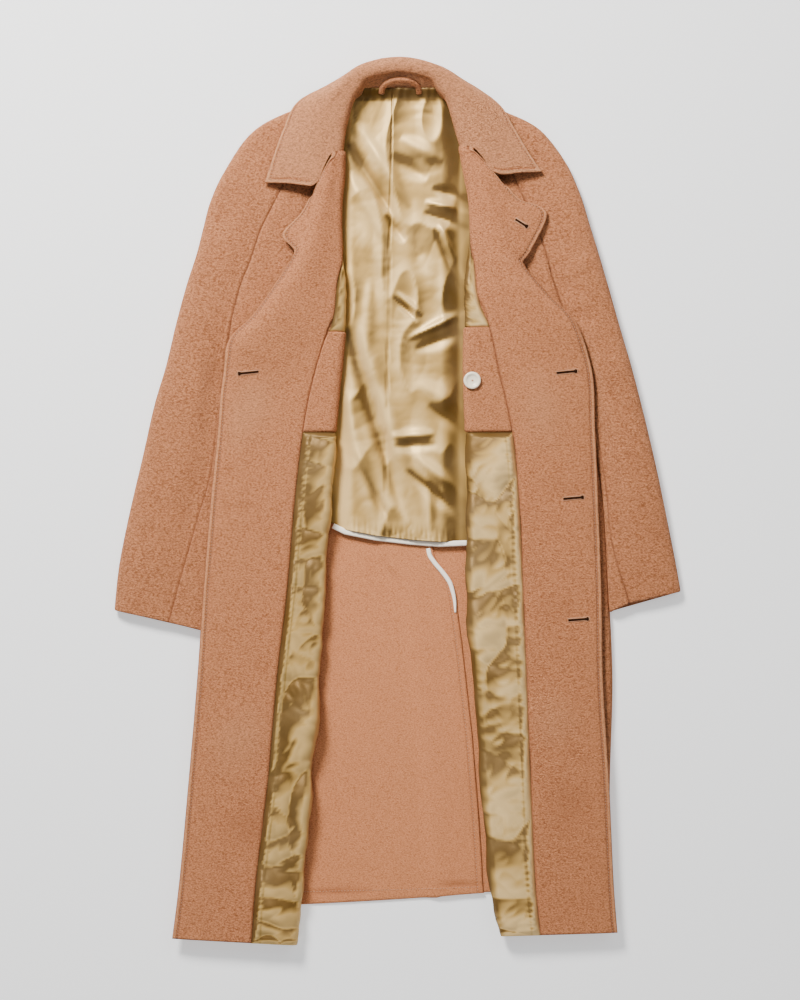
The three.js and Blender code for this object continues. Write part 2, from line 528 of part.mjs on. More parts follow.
// The height of the back lining's folds at a place
function foldHeight(x, y) {
  let height = 0;
  for (const f of LINING_FOLDS) {
    const line = new THREE.Line3(point(f.x1, f.y1, 0), point(f.x2, f.y2, 0));
    const here = point(x, y, 0);
    const t = THREE.MathUtils.clamp(line.closestPointToPointParameter(here, false), 0, 1);
    const distance = line.at(t, point(0, 0, 0)).distanceTo(here);
    height += f.height * Math.exp(-((distance / f.width) ** 2));
  }
  return height;
}

function addBackLining() {
  const base = 2 * WOOL + 2 * SEAM_GAP;
  const lastY = BACK_LINING[BACK_LINING.length - 1].y;
  const grid = steps(0, 1, LINING_ROWS).map((share) => {
    const y = mix(BACK_LINING[0].y, lastY, share);
    const [from, to] = ["right", "left"].map((side) => heightAt(BACK_LINING, "y", side, y));
    return steps(to, from, LINING_COLUMNS_BUILT).map((x) => {
      const hem = heightAt(LINING_HEM, "x", "y", x);
      const shown = THREE.MathUtils.smoothstep(80 - Math.abs(x), 0, 20);
            const lift = THREE.MathUtils.smoothstep(-y, -120, 0) * (base - WOOL - SEAM_GAP);
      return point(x, share === 1 ? hem : Math.max(y, hem + 2), WOOL + SEAM_GAP + lift + shown * foldHeight(x, y));
    });
  });
  const sheet = surface(grid);
  const lining = clothWall(sheet, run(0, LINING_ROWS), run(0, LINING_COLUMNS_BUILT), -SATIN, 0);
  addPiece("back_lining", lining, COLOUR.satin, 0.4);
}

// A flat strip of cloth on the back, given by its rows of points
function addBinding(name, grid) {
  const binding = clothWall(surface(grid), run(0, grid.length - 1), run(0, 2), 0, BINDING);
  addPiece(name, binding, COLOUR.cream, 0.6);
}

function addBindings() {
  const base = 2 * (WOOL + SEAM_GAP);
  const { width, from, to } = LINING_BINDING;
  addBinding("lining_binding", steps(from, to, 16).map((x) => {
    const y = heightAt(LINING_HEM, "x", "y", x) - 0.7;
    return [y - width, y - width / 2, y].map((at) => point(x, at, base));
  }));
  const line = VENT_BINDING.map((b) => point(b.x, b.y, base));
  addBinding("vent_binding", line.map((p, i) => {
    const ahead = line[Math.min(i + 1, line.length - 1)].clone().sub(line[Math.max(i - 1, 0)]).normalize();
    const across = point(-ahead.y, ahead.x, 0).multiplyScalar(VENT_BINDING[i].width / 2);
    return [p.clone().sub(across), p.clone(), p.clone().add(across)];
  }));
}

function addLoop() {
  const slope = Math.hypot(STAND_SLOPE.rise, STAND_SLOPE.depth);
  const at = (along, up) => point(
    LOOP.x + along,
    STAND_SLOPE.y + (up * STAND_SLOPE.depth) / slope,
    STAND_SLOPE.z + (up * STAND_SLOPE.rise) / slope,
  );
  const path = LOOP_PATH.map((p) => new THREE.Vector2(p.along, p.up));
  const grid = path.map((p, i) => {
    const ahead = path[Math.min(i + 1, path.length - 1)].clone().sub(path[Math.max(i - 1, 0)]).normalize();
    return [-0.5, 0, 0.5].map((side) =>
      at(p.x - ahead.y * side * LOOP.width, p.y + ahead.x * side * LOOP.width));
  });
  const loop = clothWall(surface(grid), run(0, grid.length - 1), run(0, 2), LOOP.near, LOOP.far);
  addPiece("hanger_loop", loop, COLOUR.wool);
}

function addButton() {
  const profile = BUTTON_SECTION.map((b) => new THREE.Vector2(b.share * BUTTON.radius, b.height)).reverse();
  const geometry = new THREE.LatheGeometry(profile, 32);
  geometry.rotateX(Math.PI / 2).rotateY(BUTTON.lean).translate(BUTTON.x, BUTTON.y, BUTTON.z);
  addPiece("inner_button", geometry, COLOUR.button, 0.35);
}

addFront("right", FRONT_RIGHT, BUTTONHOLES_RIGHT);
addFront("left", FRONT_LEFT, BUTTONHOLES_LEFT);
addSleeve("right", FRONT_RIGHT, SLEEVE_RIGHT);
addSleeve("left", FRONT_LEFT, SLEEVE_LEFT);
addCollar();
addBack("right", FRONT_RIGHT);
addBack("left", FRONT_LEFT);
addBackLining();
addBindings();
addLoop();
addButton();

// The origin is under the middle of the coat's outline
const box = new THREE.Box3().setFromObject(coat);
coat.position.set(-(box.min.x + box.max.x) / 2, -(box.min.y + box.max.y) / 2, -box.min.z);

export default coat;
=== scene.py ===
import math

import bmesh
import bpy
import numpy as np
from mathutils import Matrix, Vector, noise


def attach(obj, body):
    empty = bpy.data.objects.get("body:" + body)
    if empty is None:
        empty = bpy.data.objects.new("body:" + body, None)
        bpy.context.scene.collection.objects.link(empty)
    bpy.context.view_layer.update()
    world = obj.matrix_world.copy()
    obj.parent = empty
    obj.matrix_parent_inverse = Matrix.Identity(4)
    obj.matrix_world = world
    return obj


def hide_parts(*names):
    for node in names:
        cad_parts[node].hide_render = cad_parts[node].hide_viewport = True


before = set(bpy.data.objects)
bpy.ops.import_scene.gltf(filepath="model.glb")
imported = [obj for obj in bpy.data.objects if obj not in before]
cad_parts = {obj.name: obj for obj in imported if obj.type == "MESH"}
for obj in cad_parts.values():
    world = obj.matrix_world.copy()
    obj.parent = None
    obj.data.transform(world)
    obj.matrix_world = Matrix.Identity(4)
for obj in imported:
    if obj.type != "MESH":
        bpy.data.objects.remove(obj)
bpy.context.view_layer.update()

# The view: the coat lies on a pale paper floor and the camera looks straight down at it from
# well above. Sizes are in metres here and in millimetres where the cloth is cut.
VIEW_HEIGHT = 1.33
VIEW_CENTRE = (0.0032, 0.0029)
CAMERA_HEIGHT = 3.4
SENSOR = 0.036
MM = 0.001

camera_data = bpy.data.cameras.new("camera")
camera_data.sensor_width = SENSOR * 1000
camera_data.lens = SENSOR * 1000 * (CAMERA_HEIGHT - 0.015) / VIEW_HEIGHT
camera = bpy.data.objects.new("camera", camera_data)
camera.location = (*VIEW_CENTRE, CAMERA_HEIGHT)
bpy.context.scene.collection.objects.link(camera)
bpy.context.scene.camera = camera


def link(obj):
    bpy.context.scene.collection.objects.link(obj)
    return obj


def new_material(name):
    material = bpy.data.materials.new(name)
    material.use_nodes = True
    return material, material.node_tree, material.node_tree.nodes["Principled BSDF"]


def area_light(name, place, target, size, power, colour=(1, 1, 1)):
    data = bpy.data.lights.new(name, "AREA")
    data.shape = "DISK"
    data.size = size
    data.energy = power
    data.color = colour
    light = link(bpy.data.objects.new(name, data))
    light.location = place
    light.rotation_euler = (Vector(target) - Vector(place)).to_track_quat("-Z", "Y").to_euler()


area_light("key", (-0.95, 1.8, 1.8), (0, 0.1, 0), 0.8, 178, (1, 0.98, 0.95))
area_light("fill", (1.5, 1.5, 2.5), (0, 0, 0), 2.0, 24, (1, 0.99, 0.97))
area_light("foot", (-0.6, -2.3, 2.6), (0, -0.3, 0), 1.8, 30)
world = bpy.data.worlds.new("room")
world.use_nodes = True
world.node_tree.nodes["Background"].inputs["Color"].default_value = (0.86, 0.87, 0.89, 1)
world.node_tree.nodes["Background"].inputs["Strength"].default_value = 0.24
bpy.context.scene.world = world

floor_mesh = bpy.data.meshes.new("floor")
floor_bm = bmesh.new()
bmesh.ops.create_grid(floor_bm, x_segments=1, y_segments=1, size=6)
floor_bm.to_mesh(floor_mesh)
floor_bm.free()
floor = link(bpy.data.objects.new("floor", floor_mesh))
floor.location = (0, 0, -0.0004)
floor_material, floor_tree, floor_shader = new_material("paper")
floor_shader.inputs["Base Color"].default_value = (0.73, 0.735, 0.745, 1)
floor_shader.inputs["Roughness"].default_value = 0.9
floor_shader.inputs["Specular IOR Level"].default_value = 0.1
floor_shader.inputs["Emission Color"].default_value = (1, 1, 1, 1)
floor_shader.inputs["Emission Strength"].default_value = 0.5
floor_mesh.materials.append(floor_material)


# Wool cloth: a thick boiled wool with its nap brushed into small curls on the outside. The
# facings are the same cloth, pressed a little flatter, and the inside of the back is plain felt.
def group_of(name, inputs, outputs):
    """An empty shader node group with named sockets."""
    group = bpy.data.node_groups.new(name, "ShaderNodeTree")
    for label, kind in inputs:
        group.interface.new_socket(label, in_out="INPUT", socket_type=kind)
    for label, kind in outputs:
        group.interface.new_socket(label, in_out="OUTPUT", socket_type=kind)
    return group, group.nodes.new("NodeGroupInput"), group.nodes.new("NodeGroupOutput")


def math_node(tree, operation, first, second):
    """A maths node whose inputs are sockets or numbers."""
    node = tree.nodes.new("ShaderNodeMath")
    node.operation = operation
    for socket, value in zip(node.inputs, (first, second)):
        if isinstance(value, (int, float)):
            socket.default_value = value
        else:
            tree.links.new(value, socket)
    return node.outputs[0]


def noise_node(tree, vector, scale, detail, distortion=0.0, roughness=0.5):
    node = tree.nodes.new("ShaderNodeTexNoise")
    node.inputs["Detail"].default_value = detail
    node.inputs["Roughness"].default_value = roughness
    node.inputs["Distortion"].default_value = distortion
    tree.links.new(vector, node.inputs["Vector"])
    if isinstance(scale, (int, float)):
        node.inputs["Scale"].default_value = scale
    else:
        tree.links.new(scale, node.inputs["Scale"])
    return node.outputs[0]


def colour_mix(tree, factor, first, second):
    node = tree.nodes.new("ShaderNodeMix")
    node.data_type = "RGBA"
    tree.links.new(factor, node.inputs["Factor"])
    for socket, value in ((node.inputs[6], first), (node.inputs[7], second)):
        if isinstance(value, tuple):
            socket.default_value = (*value, 1)
        else:
            tree.links.new(value, socket)
    return node.outputs[2]


def map_range(tree, value, low, high):
    node = tree.nodes.new("ShaderNodeMapRange")
    node.inputs["From Min"].default_value = low
    node.inputs["From Max"].default_value = high
    tree.links.new(value, node.inputs["Value"])
    return node.outputs["Result"]


def make_nap_group():
    """Curled nap: its height, a slow mottle over the cloth, and the normal that the height gives."""
    group, given, made = group_of(
        "brushed_nap",
        [("Vector", "NodeSocketVector"), ("Curls per metre", "NodeSocketFloat"), ("Depth", "NodeSocketFloat")],
        [("Height", "NodeSocketFloat"), ("Mottle", "NodeSocketFloat"), ("Normal", "NodeSocketVector")],
    )
    vector, curls, depth = given.outputs[0], given.outputs[1], given.outputs[2]
    curl = noise_node(group, vector, curls, 3.0, 1.4, 0.6)
    hair = noise_node(group, vector, math_node(group, "MULTIPLY", curls, 3.6), 3.0, 2.2, 0.65)
    cells = group.nodes.new("ShaderNodeTexVoronoi")
    cells.feature = "SMOOTH_F1"
    group.links.new(vector, cells.inputs["Vector"])
    group.links.new(math_node(group, "MULTIPLY", curls, 0.8), cells.inputs["Scale"])
    tuft = math_node(group, "SUBTRACT", 1.0, cells.outputs["Distance"])
    height = math_node(group, "ADD", math_node(group, "MULTIPLY", curl, 0.55), math_node(group, "MULTIPLY", hair, 0.3))
    height = math_node(group, "ADD", height, math_node(group, "MULTIPLY", tuft, 0.22))
    bump = group.nodes.new("ShaderNodeBump")
    bump.inputs["Strength"].default_value = 1.0
    group.links.new(height, bump.inputs["Height"])
    group.links.new(depth, bump.inputs["Distance"])
    group.links.new(height, made.inputs["Height"])
    group.links.new(noise_node(group, vector, 26.0, 3.0, 0.4), made.inputs["Mottle"])
    group.links.new(bump.outputs["Normal"], made.inputs["Normal"])
    return group


NAP = make_nap_group()
WOOL_LIGHT = (0.92, 0.42, 0.20)
WOOL_MID = (0.66, 0.25, 0.105)
WOOL_DARK = (0.25, 0.07, 0.022)


def wool_material(name, curls, depth, contrast, lift=1.0):
    """Wool with curls of a size, standing up by a depth in metres."""
    material, tree, shader = new_material(name)
    place = tree.nodes.new("ShaderNodeTexCoord")
    nap = tree.nodes.new("ShaderNodeGroup")
    nap.node_tree = NAP
    nap.inputs["Curls per metre"].default_value = curls
    nap.inputs["Depth"].default_value = depth
    lie = tree.nodes.new("ShaderNodeMapping")
    lie.inputs["Scale"].default_value = (0.8, 1.25, 1)
    tree.links.new(place.outputs["Object"], lie.inputs["Vector"])
    tree.links.new(lie.outputs["Vector"], nap.inputs["Vector"])
    dark, mid, light = (tuple(c * lift for c in tone) for tone in (WOOL_DARK, WOOL_MID, WOOL_LIGHT))
    low = map_range(tree, nap.outputs["Height"], 0.57 - contrast * 1.5, 0.57)
    high = map_range(tree, nap.outputs["Height"], 0.57, 0.57 + contrast * 2.2)
    colour = colour_mix(tree, high, colour_mix(tree, low, dark, mid), light)
    patch = map_range(tree, nap.outputs["Mottle"], 0.25, 0.8)
    rose = colour_mix(tree, patch, tuple(c * 0.93 for c in mid), tuple(min(c * 1.08, 1) for c in mid))
    blend = tree.nodes.new("ShaderNodeMix")
    blend.data_type = "RGBA"
    blend.inputs["Factor"].default_value = 0.2
    tree.links.new(colour, blend.inputs[6])
    tree.links.new(rose, blend.inputs[7])
    # Painted light: where the fold attribute is below 0.5 the colour goes towards a deep brown as painted shade, and
    # above 0.5 towards a pale orange as a painted highlight.
    painted_shade_and_highlight = tree.nodes.new("ShaderNodeAttribute")
    painted_shade_and_highlight.attribute_name = "fold"
    down = colour_mix(tree, map_range(tree, painted_shade_and_highlight.outputs["Fac"], 0.0, 0.5), (0.22, 0.065, 0.024), blend.outputs[2])
    raised = colour_mix(tree, map_range(tree, painted_shade_and_highlight.outputs["Fac"], 0.5, 1.5), down, (1.0, 0.52, 0.27))
    tree.links.new(raised, shader.inputs["Base Color"])
    tree.links.new(nap.outputs["Normal"], shader.inputs["Normal"])
    shader.inputs["Roughness"].default_value = 0.95
    shader.inputs["Specular IOR Level"].default_value = 0.12
    shader.inputs["Sheen Weight"].default_value = 0.06
    shader.inputs["Sheen Roughness"].default_value = 0.6
    shader.inputs["Sheen Tint"].default_value = (1.0, 0.82, 0.68, 1)
    return material


outer_wool = wool_material("brushed_wool", 520, 0.0060, 0.075)
facing_wool = wool_material("facing_wool", 640, 0.0046, 0.08)
felt_wool = wool_material("felt_inside", 820, 0.0016, 0.11, 0.92)


# The cloth walls: every panel is a grid of points worked out from a table, with a face on each
# side. Turned edges are rounded, seams are drawn in, and stitching lies in a shallow groove.
WOOL = 3.0
FACING = 2.5
SATIN = 1.0
GAP = 0.3
BEHIND = WOOL + GAP


def table(columns, rows):
    return [dict(zip(columns, row)) for row in rows]


def row_at(rows, at):
    """Every column at a fractional row, on a smooth curve through the rows."""
    last = len(rows) - 1
    i = min(max(int(math.floor(at)), 0), last - 1)
    f = at - i
    a, b, c, d = (rows[min(max(n, 0), last)] for n in (i - 1, i, i + 1, i + 2))
    found = {}
    for name, q in b.items():
        p, r = a.get(name, q), c.get(name, q)
        s = d.get(name, r)
        found[name] = q + 0.5 * f * (r - p + f * (2 * p - 5 * q + 4 * r - s + f * (3 * (q - r) + s - p)))
    return found


def curve_points(controls, stations):
    """Points on a centripetal curve through the controls, at stations counted in controls."""
    c = np.asarray(controls, float)
    ext = np.vstack([2 * c[0] - c[1], c, 2 * c[-1] - c[-2]])
    stations = np.asarray(stations, float)
    i = np.clip(np.floor(stations).astype(int), 0, len(c) - 2)
    w = (stations - i)[:, None]
    p0, p1, p2, p3 = ext[i], ext[i + 1], ext[i + 2], ext[i + 3]

    def gap(a, b):
        return np.maximum(((a - b) ** 2).sum(1), 1e-8)[:, None] ** 0.25

    d0, d1, d2 = gap(p0, p1), gap(p1, p2), gap(p2, p3)
    t1 = ((p1 - p0) / d0 - (p2 - p0) / (d0 + d1) + (p2 - p1) / d1) * d1
    t2 = ((p2 - p1) / d1 - (p3 - p1) / (d1 + d2) + (p3 - p2) / d2) * d1
    return p1 + t1 * w + (3 * (p2 - p1) - 2 * t1 - t2) * w**2 + (2 * (p1 - p2) + t1 + t2) * w**3


def lengths(points):
    """How far each point of a line lies along it."""
    return np.concatenate([[0], np.cumsum(np.linalg.norm(np.diff(points, axis=0), axis=1))])


def resample(points, places):
    along = lengths(points)
    return np.stack([np.interp(places, along, points[:, k]) for k in range(3)], axis=1)


EDGE_STEPS = np.array([0, 0.5, 1.2, 2.1, 3.2, 4.4, 5.4, 6.1, 6.6, 7.1, 7.8, 8.9, 10.5, 12.5])


def edge_places(length, count, first_edge=False):
    """Places along a line, closer together near its far end and, if asked, near its first end."""
    steps = EDGE_STEPS * min(1, 0.45 * length / EDGE_STEPS[-1])
    start = steps if first_edge else np.array([0.0])
    middle = np.linspace(start[-1], length - steps[-1], count + 2)[1:-1]
    return np.concatenate([start, middle, (length - steps)[::-1]])


def normals(grid):
    n = np.cross(np.gradient(grid, axis=0), np.gradient(grid, axis=1))
    return n / np.maximum(np.linalg.norm(n, axis=2, keepdims=True), 1e-9)


def lumps(grid, size, seed, stretch=(1, 1)):
    """Smooth noise over a grid, with lumps of a size in millimetres."""
    x, y = grid[..., 0] / (size * stretch[0]) + seed, grid[..., 1] / (size * stretch[1]) - seed
    flat = [noise.noise((a, b, seed * 1.7)) for a, b in zip(x.ravel(), y.ravel())]
    return np.array(flat).reshape(x.shape)


def marks(grid, rows):
    """The sum of soft ridges, or troughs where the height is negative."""
    x, y = grid[..., 0], grid[..., 1]
    total = np.zeros(x.shape)
    for m in rows:
        dx, dy = m["x2"] - m["x1"], m["y2"] - m["y1"]
        t = np.clip(((x - m["x1"]) * dx + (y - m["y1"]) * dy) / (dx * dx + dy * dy + 1e-9), 0, 1)
        d = np.hypot(x - m["x1"] - t * dx, y - m["y1"] - t * dy)
        spindle = np.sin(np.pi * t)
        total += m["height"] * np.exp(-((d / (m["width"] * (0.5 + 0.6 * spindle))) ** 2)) * spindle
    return total


def smooth(value, low, high):
    t = np.clip((value - low) / (high - low), 0, 1)
    return t * t * (3 - 2 * t)


def rolled(distance, radius):
    """How far a turned edge falls away from the face, at a distance from the edge."""
    inside = np.clip(1 - distance / radius, 0, 1)
    return radius * (1 - np.sqrt(1 - inside**2))


def groove(distance, at=6.6, width=1.2, depth=1.1):
    return depth * np.exp(-(((distance - at) / width) ** 2))


def painted_shade_and_highlight(distance, at=6.6):
    """Painted light beside a turned edge: painted shade in the stitched groove and along the very edge, and a painted
    highlight on the rim.
    """
    line = np.exp(-(((distance - at) / 1.3) ** 2))
    rim = np.exp(-(((distance - 3.0) / 1.8) ** 2))
    return 0.5 - 0.42 * line + 0.3 * rim - 0.4 * np.exp(-((distance / 1.1) ** 2))


def shell(name, outer, inner, material, fold=None):
    """A closed wall of cloth between two grids of points, in millimetres. fold is painted light for
    each point, kept as the fold attribute: 0 is painted shade in the troughs and 1 a painted highlight on the ridges."""
    rows, columns, _ = outer.shape
    bm = bmesh.new()
    bmesh.ops.create_grid(bm, x_segments=columns - 1, y_segments=rows - 1, size=1)
    spot = bm.verts.layers.int.new("spot")
    tone = bm.verts.layers.float.new("fold")
    for i, vert in enumerate(bm.verts):
        vert[spot] = i
        vert[tone] = 0.5 if fold is None else float(fold.flat[i])
    made = bmesh.ops.extrude_face_region(bm, geom=bm.faces[:], use_keep_orig=True)
    raised = {item for item in made["geom"] if isinstance(item, bmesh.types.BMVert)}
    top, under = outer.reshape(-1, 3) * MM, inner.reshape(-1, 3) * MM
    top[:, 2], under[:, 2] = np.maximum(top[:, 2], 0), np.maximum(under[:, 2], 0)
    for vert in bm.verts:
        vert.co = top[vert[spot]] if vert in raised else under[vert[spot]]
    bmesh.ops.recalc_face_normals(bm, faces=bm.faces[:])
    mesh = bpy.data.meshes.new(name)
    bm.to_mesh(mesh)
    bm.free()
    mesh.attributes.remove(mesh.attributes["spot"])
    mesh.materials.append(material)
    mesh.shade_smooth()
    return link(bpy.data.objects.new(name, mesh))


def flat_cut(grid):
    """The width, length and area that a panel had on the cutting table, in metres."""
    wide = np.linalg.norm(np.diff(grid, axis=1), axis=2).sum(1).max() * MM
    long = np.linalg.norm(np.diff(grid, axis=0), axis=2).sum(0).max() * MM
    across, along = np.diff(grid, axis=1)[:-1], np.diff(grid, axis=0)[:, :-1]
    area = np.linalg.norm(np.cross(across, along), axis=2).sum() * MM * MM
    wide, long = round(float(wide), 4), round(float(long), 4)
    return {"flat": (wide, long), "area": round(min(float(area), 0.999 * wide * long), 5)}


def put(obj, node):
    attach(obj, "root")
    if node:
        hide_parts(node)


def mirror(grid, on):
    return grid * np.array([-1, 1, 1]) if on else grid


# Topstitching: a heavy buttonhole thread of the cloth's own colour, sewn 6.6 mm from the edges.
# Each stitch is a short bead of thread that lies in the groove it pulls.
STITCH = {"length": 2.9, "pitch": 4.1, "width": 0.55}
thread_material, thread_tree, thread_shader = new_material("topstitch_thread")
thread_shader.inputs["Base Color"].default_value = (0.50, 0.255, 0.14, 1)
thread_shader.inputs["Roughness"].default_value = 0.7


def stitch_mesh(name, lines, material=None, size=STITCH):
    """Stitches along lines of points in millimetres, as one piece."""
    bm = bmesh.new()
    for line in lines:
        total = lengths(line)[-1]
        count = max(int(total / size["pitch"]), 1)
        ends = np.linspace(0, total, count + 1)
        places = resample(line, (ends[:-1] + ends[1:]) / 2)
        ahead = resample(line, np.minimum((ends[:-1] + ends[1:]) / 2 + 1, total)) - places
        for p, a in zip(places, ahead):
            turn = Vector(a).to_track_quat("X", "Z").to_matrix().to_4x4()
            scale = Matrix.Diagonal((size["length"] / 2, size["width"], size["width"], 1))
            matrix = Matrix.Translation(Vector(p) * MM) @ turn @ scale @ Matrix.Scale(MM, 4)
            bmesh.ops.create_icosphere(bm, subdivisions=1, radius=1, matrix=matrix)
    mesh = bpy.data.meshes.new(name)
    bm.to_mesh(mesh)
    bm.free()
    mesh.materials.append(material or thread_material)
    mesh.shade_smooth()
    obj = link(bpy.data.objects.new(name, mesh))
    put(obj, None)
    return obj


# The fronts: each is a panel of the outer wool that comes in from the armhole and the side,
# turns back on itself at the inner fold, and carries the facing, lapel and lining on its inside.
FRONT_COLUMNS = ("ySide", "side", "zSide", "yFold", "fold", "gap", "seamAt", "seam",
                 "crest", "zCrest", "turn", "zTurn", "yEdge", "edge", "zEdge")
FRONT_RIGHT = table(FRONT_COLUMNS, [
    (514, 88.6, 13.5, 460, 69.3, 18, 3.6, 84.5, 85.5, 32, 86.6, 32.2, 458, 87.6, 32.3),
    (488, 117.8, 15, 444, 69.6, 17.5, 3.6, 86, 92, 33.5, 100, 32.8, 415, 106.5, 31),
    (439, 143.1, 17, 426, 70.6, 16.5, 3.6, 83, 95, 34, 106, 32, 398, 116, 28),
    (397, 164.4, 18, 395, 73.5, 15, 4.2, 85, 100, 34, 113, 30, 378, 130, 25),
    (359, 183, 19, 358, 73.9, 13, 5, 86, 109, 34, 124, 29, 354, 152.4, 22),
    (322, 195, 20, 325, 72, 11, 6, 84, 117, 34.5, 131, 30, 329, 131.8, 24.5),
    (289, 208.3, 20, 289, 68.6, 10, 8.4, 84, 139, 35.5, 155.5, 30, 289, 154.6, 25),
    (245, 219.6, 20, 245, 68.1, 9, 9, 85.3, 168, 35.5, 186.5, 30, 245, 186, 25),
    (208, 225.6, 17, 208, 71.3, 8, 9, 99.2, 194, 33, 219.8, 28, 208, 219.8, 23.5),
    (143, 233.4, 8.5, 156, 76.6, 7, 9, 113.8, 175, 22.5, 216, 23, 156, 233, 20),
    (93, 236.2, 7.5, 93, 82.6, 6.5, 9, 125.6, 176, 20.5, 218, 20, 93, 238.9, 17.5),
    (3, 241.5, 7.5, -4, 90.4, 6, 9, 136.9, 190, 20, 230, 19.5, -1, 248.2, 17.5),
    (-104, 248.2, 7.5, -117, 96.6, 6, 9, 146.4, 199, 20, 239, 19.5, -114, 257.5, 17.5),
    (-217, 254.8, 7.5, -237, 104.5, 6, 9, 160.4, 212, 20, 246, 19, -237, 266.1, 17),
    (-350, 260.1, 7.5, -370, 115.2, 6, 9, 172, 223, 19.5, 258, 18.5, -370, 277.4, 16.5),
    (-469, 262.8, 7.5, -503, 125.2, 6, 9, 187.7, 236, 19.5, 270, 18, -500, 289.4, 16),
    (-533, 262.8, 7.5, -588, 132.9, 6, 9, 193.9, 247, 19, 281, 18, -580, 299.3, 16),
])
FRONT_LEFT = table(FRONT_COLUMNS, [
    (514, 96.3, 13.5, 468, 81.7, 18, 3.6, 97, 98, 32, 99.2, 32.2, 466, 100.3, 32.3),
    (488, 125.6, 15, 451, 85, 17.5, 3.6, 101, 108, 33.5, 119, 32.8, 430, 130.9, 31),
    (447, 146.8, 17, 428, 89.5, 16.5, 3.6, 98, 110, 34, 124, 32, 416.5, 146.8, 28),
    (405, 166.8, 18, 402, 94.3, 15, 4.4, 101, 116, 34, 135, 30, 398, 166, 24),
    (373, 181.4, 19, 378, 95.4, 13, 5.4, 103, 126, 34, 146, 29, 382.6, 198, 23),
    (329, 197.4, 20, 335, 94, 11.5, 6.8, 99, 139, 34.5, 155, 29, 335, 176.8, 22.5),
    (298, 205.4, 20, 311, 91.5, 10.5, 8.2, 106, 149, 35.5, 162.3, 30, 311, 162.2, 25),
    (258, 218.7, 20, 269, 89.5, 9.5, 9, 108, 180, 35.5, 199, 30, 269, 198.6, 25),
    (222, 229.3, 16, 232, 88.7, 8.5, 9, 122, 209, 34, 232.8, 29, 232, 233.4, 24.5),
    (143, 249.1, 8.5, 173, 87.8, 7.5, 9, 135, 215, 25, 246, 25, 173, 257.5, 22.5),
    (93, 260, 7.5, 93, 90.3, 6.5, 9, 152.2, 205, 20.5, 243, 20.5, 93, 262.5, 18.5),
    (-4, 275, 7.5, -4, 92.3, 6, 9, 161.5, 210, 20, 249, 19.5, -1, 266.5, 17.5),
    (-117, 281.5, 7.5, -117, 91.6, 6, 9, 166.4, 216, 20, 255, 19.5, -114, 270.5, 17.5),
    (-237, 286.5, 7.5, -237, 100.7, 6, 9, 171.4, 220, 20, 257, 19, -237, 272.5, 17),
    (-363, 283.2, 7.5, -370, 110.9, 6, 9, 176.5, 227, 19.5, 265, 18.5, -370, 280.5, 16.5),
    (-463, 281.8, 7.5, -503, 122.9, 6, 9, 182.5, 232, 19.5, 272, 18, -503, 286.5, 16),
    (-520, 279.8, 7.5, -576, 136.2, 6, 9, 189.4, 237, 19, 277, 18, -572, 291.8, 16),
])
FRONTS = {"right": FRONT_RIGHT, "left": FRONT_LEFT}
LOWER_RUN = 13.0
FOLD_COVER = 5.0
UNDERARM = 9
LAST_ROW = len(FRONT_RIGHT) - 1
SEAM_STATION = 9
EDGE_STATION = 12
MARK_COLUMNS = ("x1", "y1", "x2", "y2", "width", "height")
# Creases across the fronts, and the shallow waves that the cloth keeps from lying folded
CREASES = {
    "right": table(MARK_COLUMNS, [
        (-238, -4, -180, -7, 3.5, -1.5), (-232, 42, -206, 44, 3.0, -0.9), (-238, -430, -150, -436, 22, -1.6),
        (-250, -300, -170, -330, 40, 1.4), (-225, 60, -170, 180, 26, 1.6),
    ]),
    "left": table(MARK_COLUMNS, [
        (180, 20, 262, 12, 12, -0.9), (176, -140, 262, -150, 16, -0.8), (190, -400, 270, -410, 26, -1.4),
        (200, 60, 180, 190, 26, 1.4), (215, -250, 200, -330, 30, 1.2),
    ]),
}


def lerp(a, b, t):
    return a + (b - a) * t


def front_controls(rows, at):
    """The section of one front at a row, from the side round the fold to the free edge."""
    r = row_at(rows, at)
    fold, radius = r["fold"] + FOLD_COVER, r["gap"] / 2
    start = fold + radius
    closed = at >= UNDERARM - 0.25

    def lower(out, z):
        return (out, lerp(r["ySide"], r["yFold"], (r["side"] - out) / (r["side"] - fold)), z)

    def upper(out, z):
        return (out, lerp(r["yFold"], r["yEdge"], min((out - start) / (r["edge"] - start), 1)), z)

    side, z = r["side"], r["zSide"]
    points = [(side, r["ySide"], z)]
    points.append(lower(side - 1.2, lerp(z, LOWER_RUN, 0.55)) if closed else lower(side - 3, z))
    points.append(lower(side - 4.8, lerp(z, LOWER_RUN, 0.9)) if closed else lower(side - 8, z))
    points.append(lower(lerp(side, start, 0.45), LOWER_RUN if closed else lerp(LOWER_RUN, z, 0.35)))
    for turn in np.radians((-90, -135, -180, -225, -270)):
        height = LOWER_RUN + radius + radius * math.sin(turn)
        points.append((start + radius * math.cos(turn), r["yFold"], height))
    points.append(upper(max(r["seam"], start + 1), LOWER_RUN + r["gap"] + 0.5))
    points.append(upper(r["crest"], r["zCrest"]))
    points.append(upper(r["turn"], r["zTurn"]))
    points.append((r["edge"], r["yEdge"], r["zEdge"]))
    return points


def front_grid(rows, places, first, last, spread):
    """A grid over part of a front. first and last give the stations where each row runs."""
    lines = []
    for at in places:
        r = row_at(rows, at)
        dense = curve_points(front_controls(rows, at), np.linspace(first(r), last(r), 260))
        total = lengths(dense)[-1]
        lines.append(resample(dense, spread(total)))
    return np.array(lines)


def from_free_edge(grid):
    """Each point's distance from its row's last point, along the row."""
    steps = np.linalg.norm(np.diff(grid, axis=1), axis=2)
    back = np.cumsum(steps[:, ::-1], axis=1)[:, ::-1]
    return np.concatenate([back, np.zeros((len(grid), 1))], axis=1)


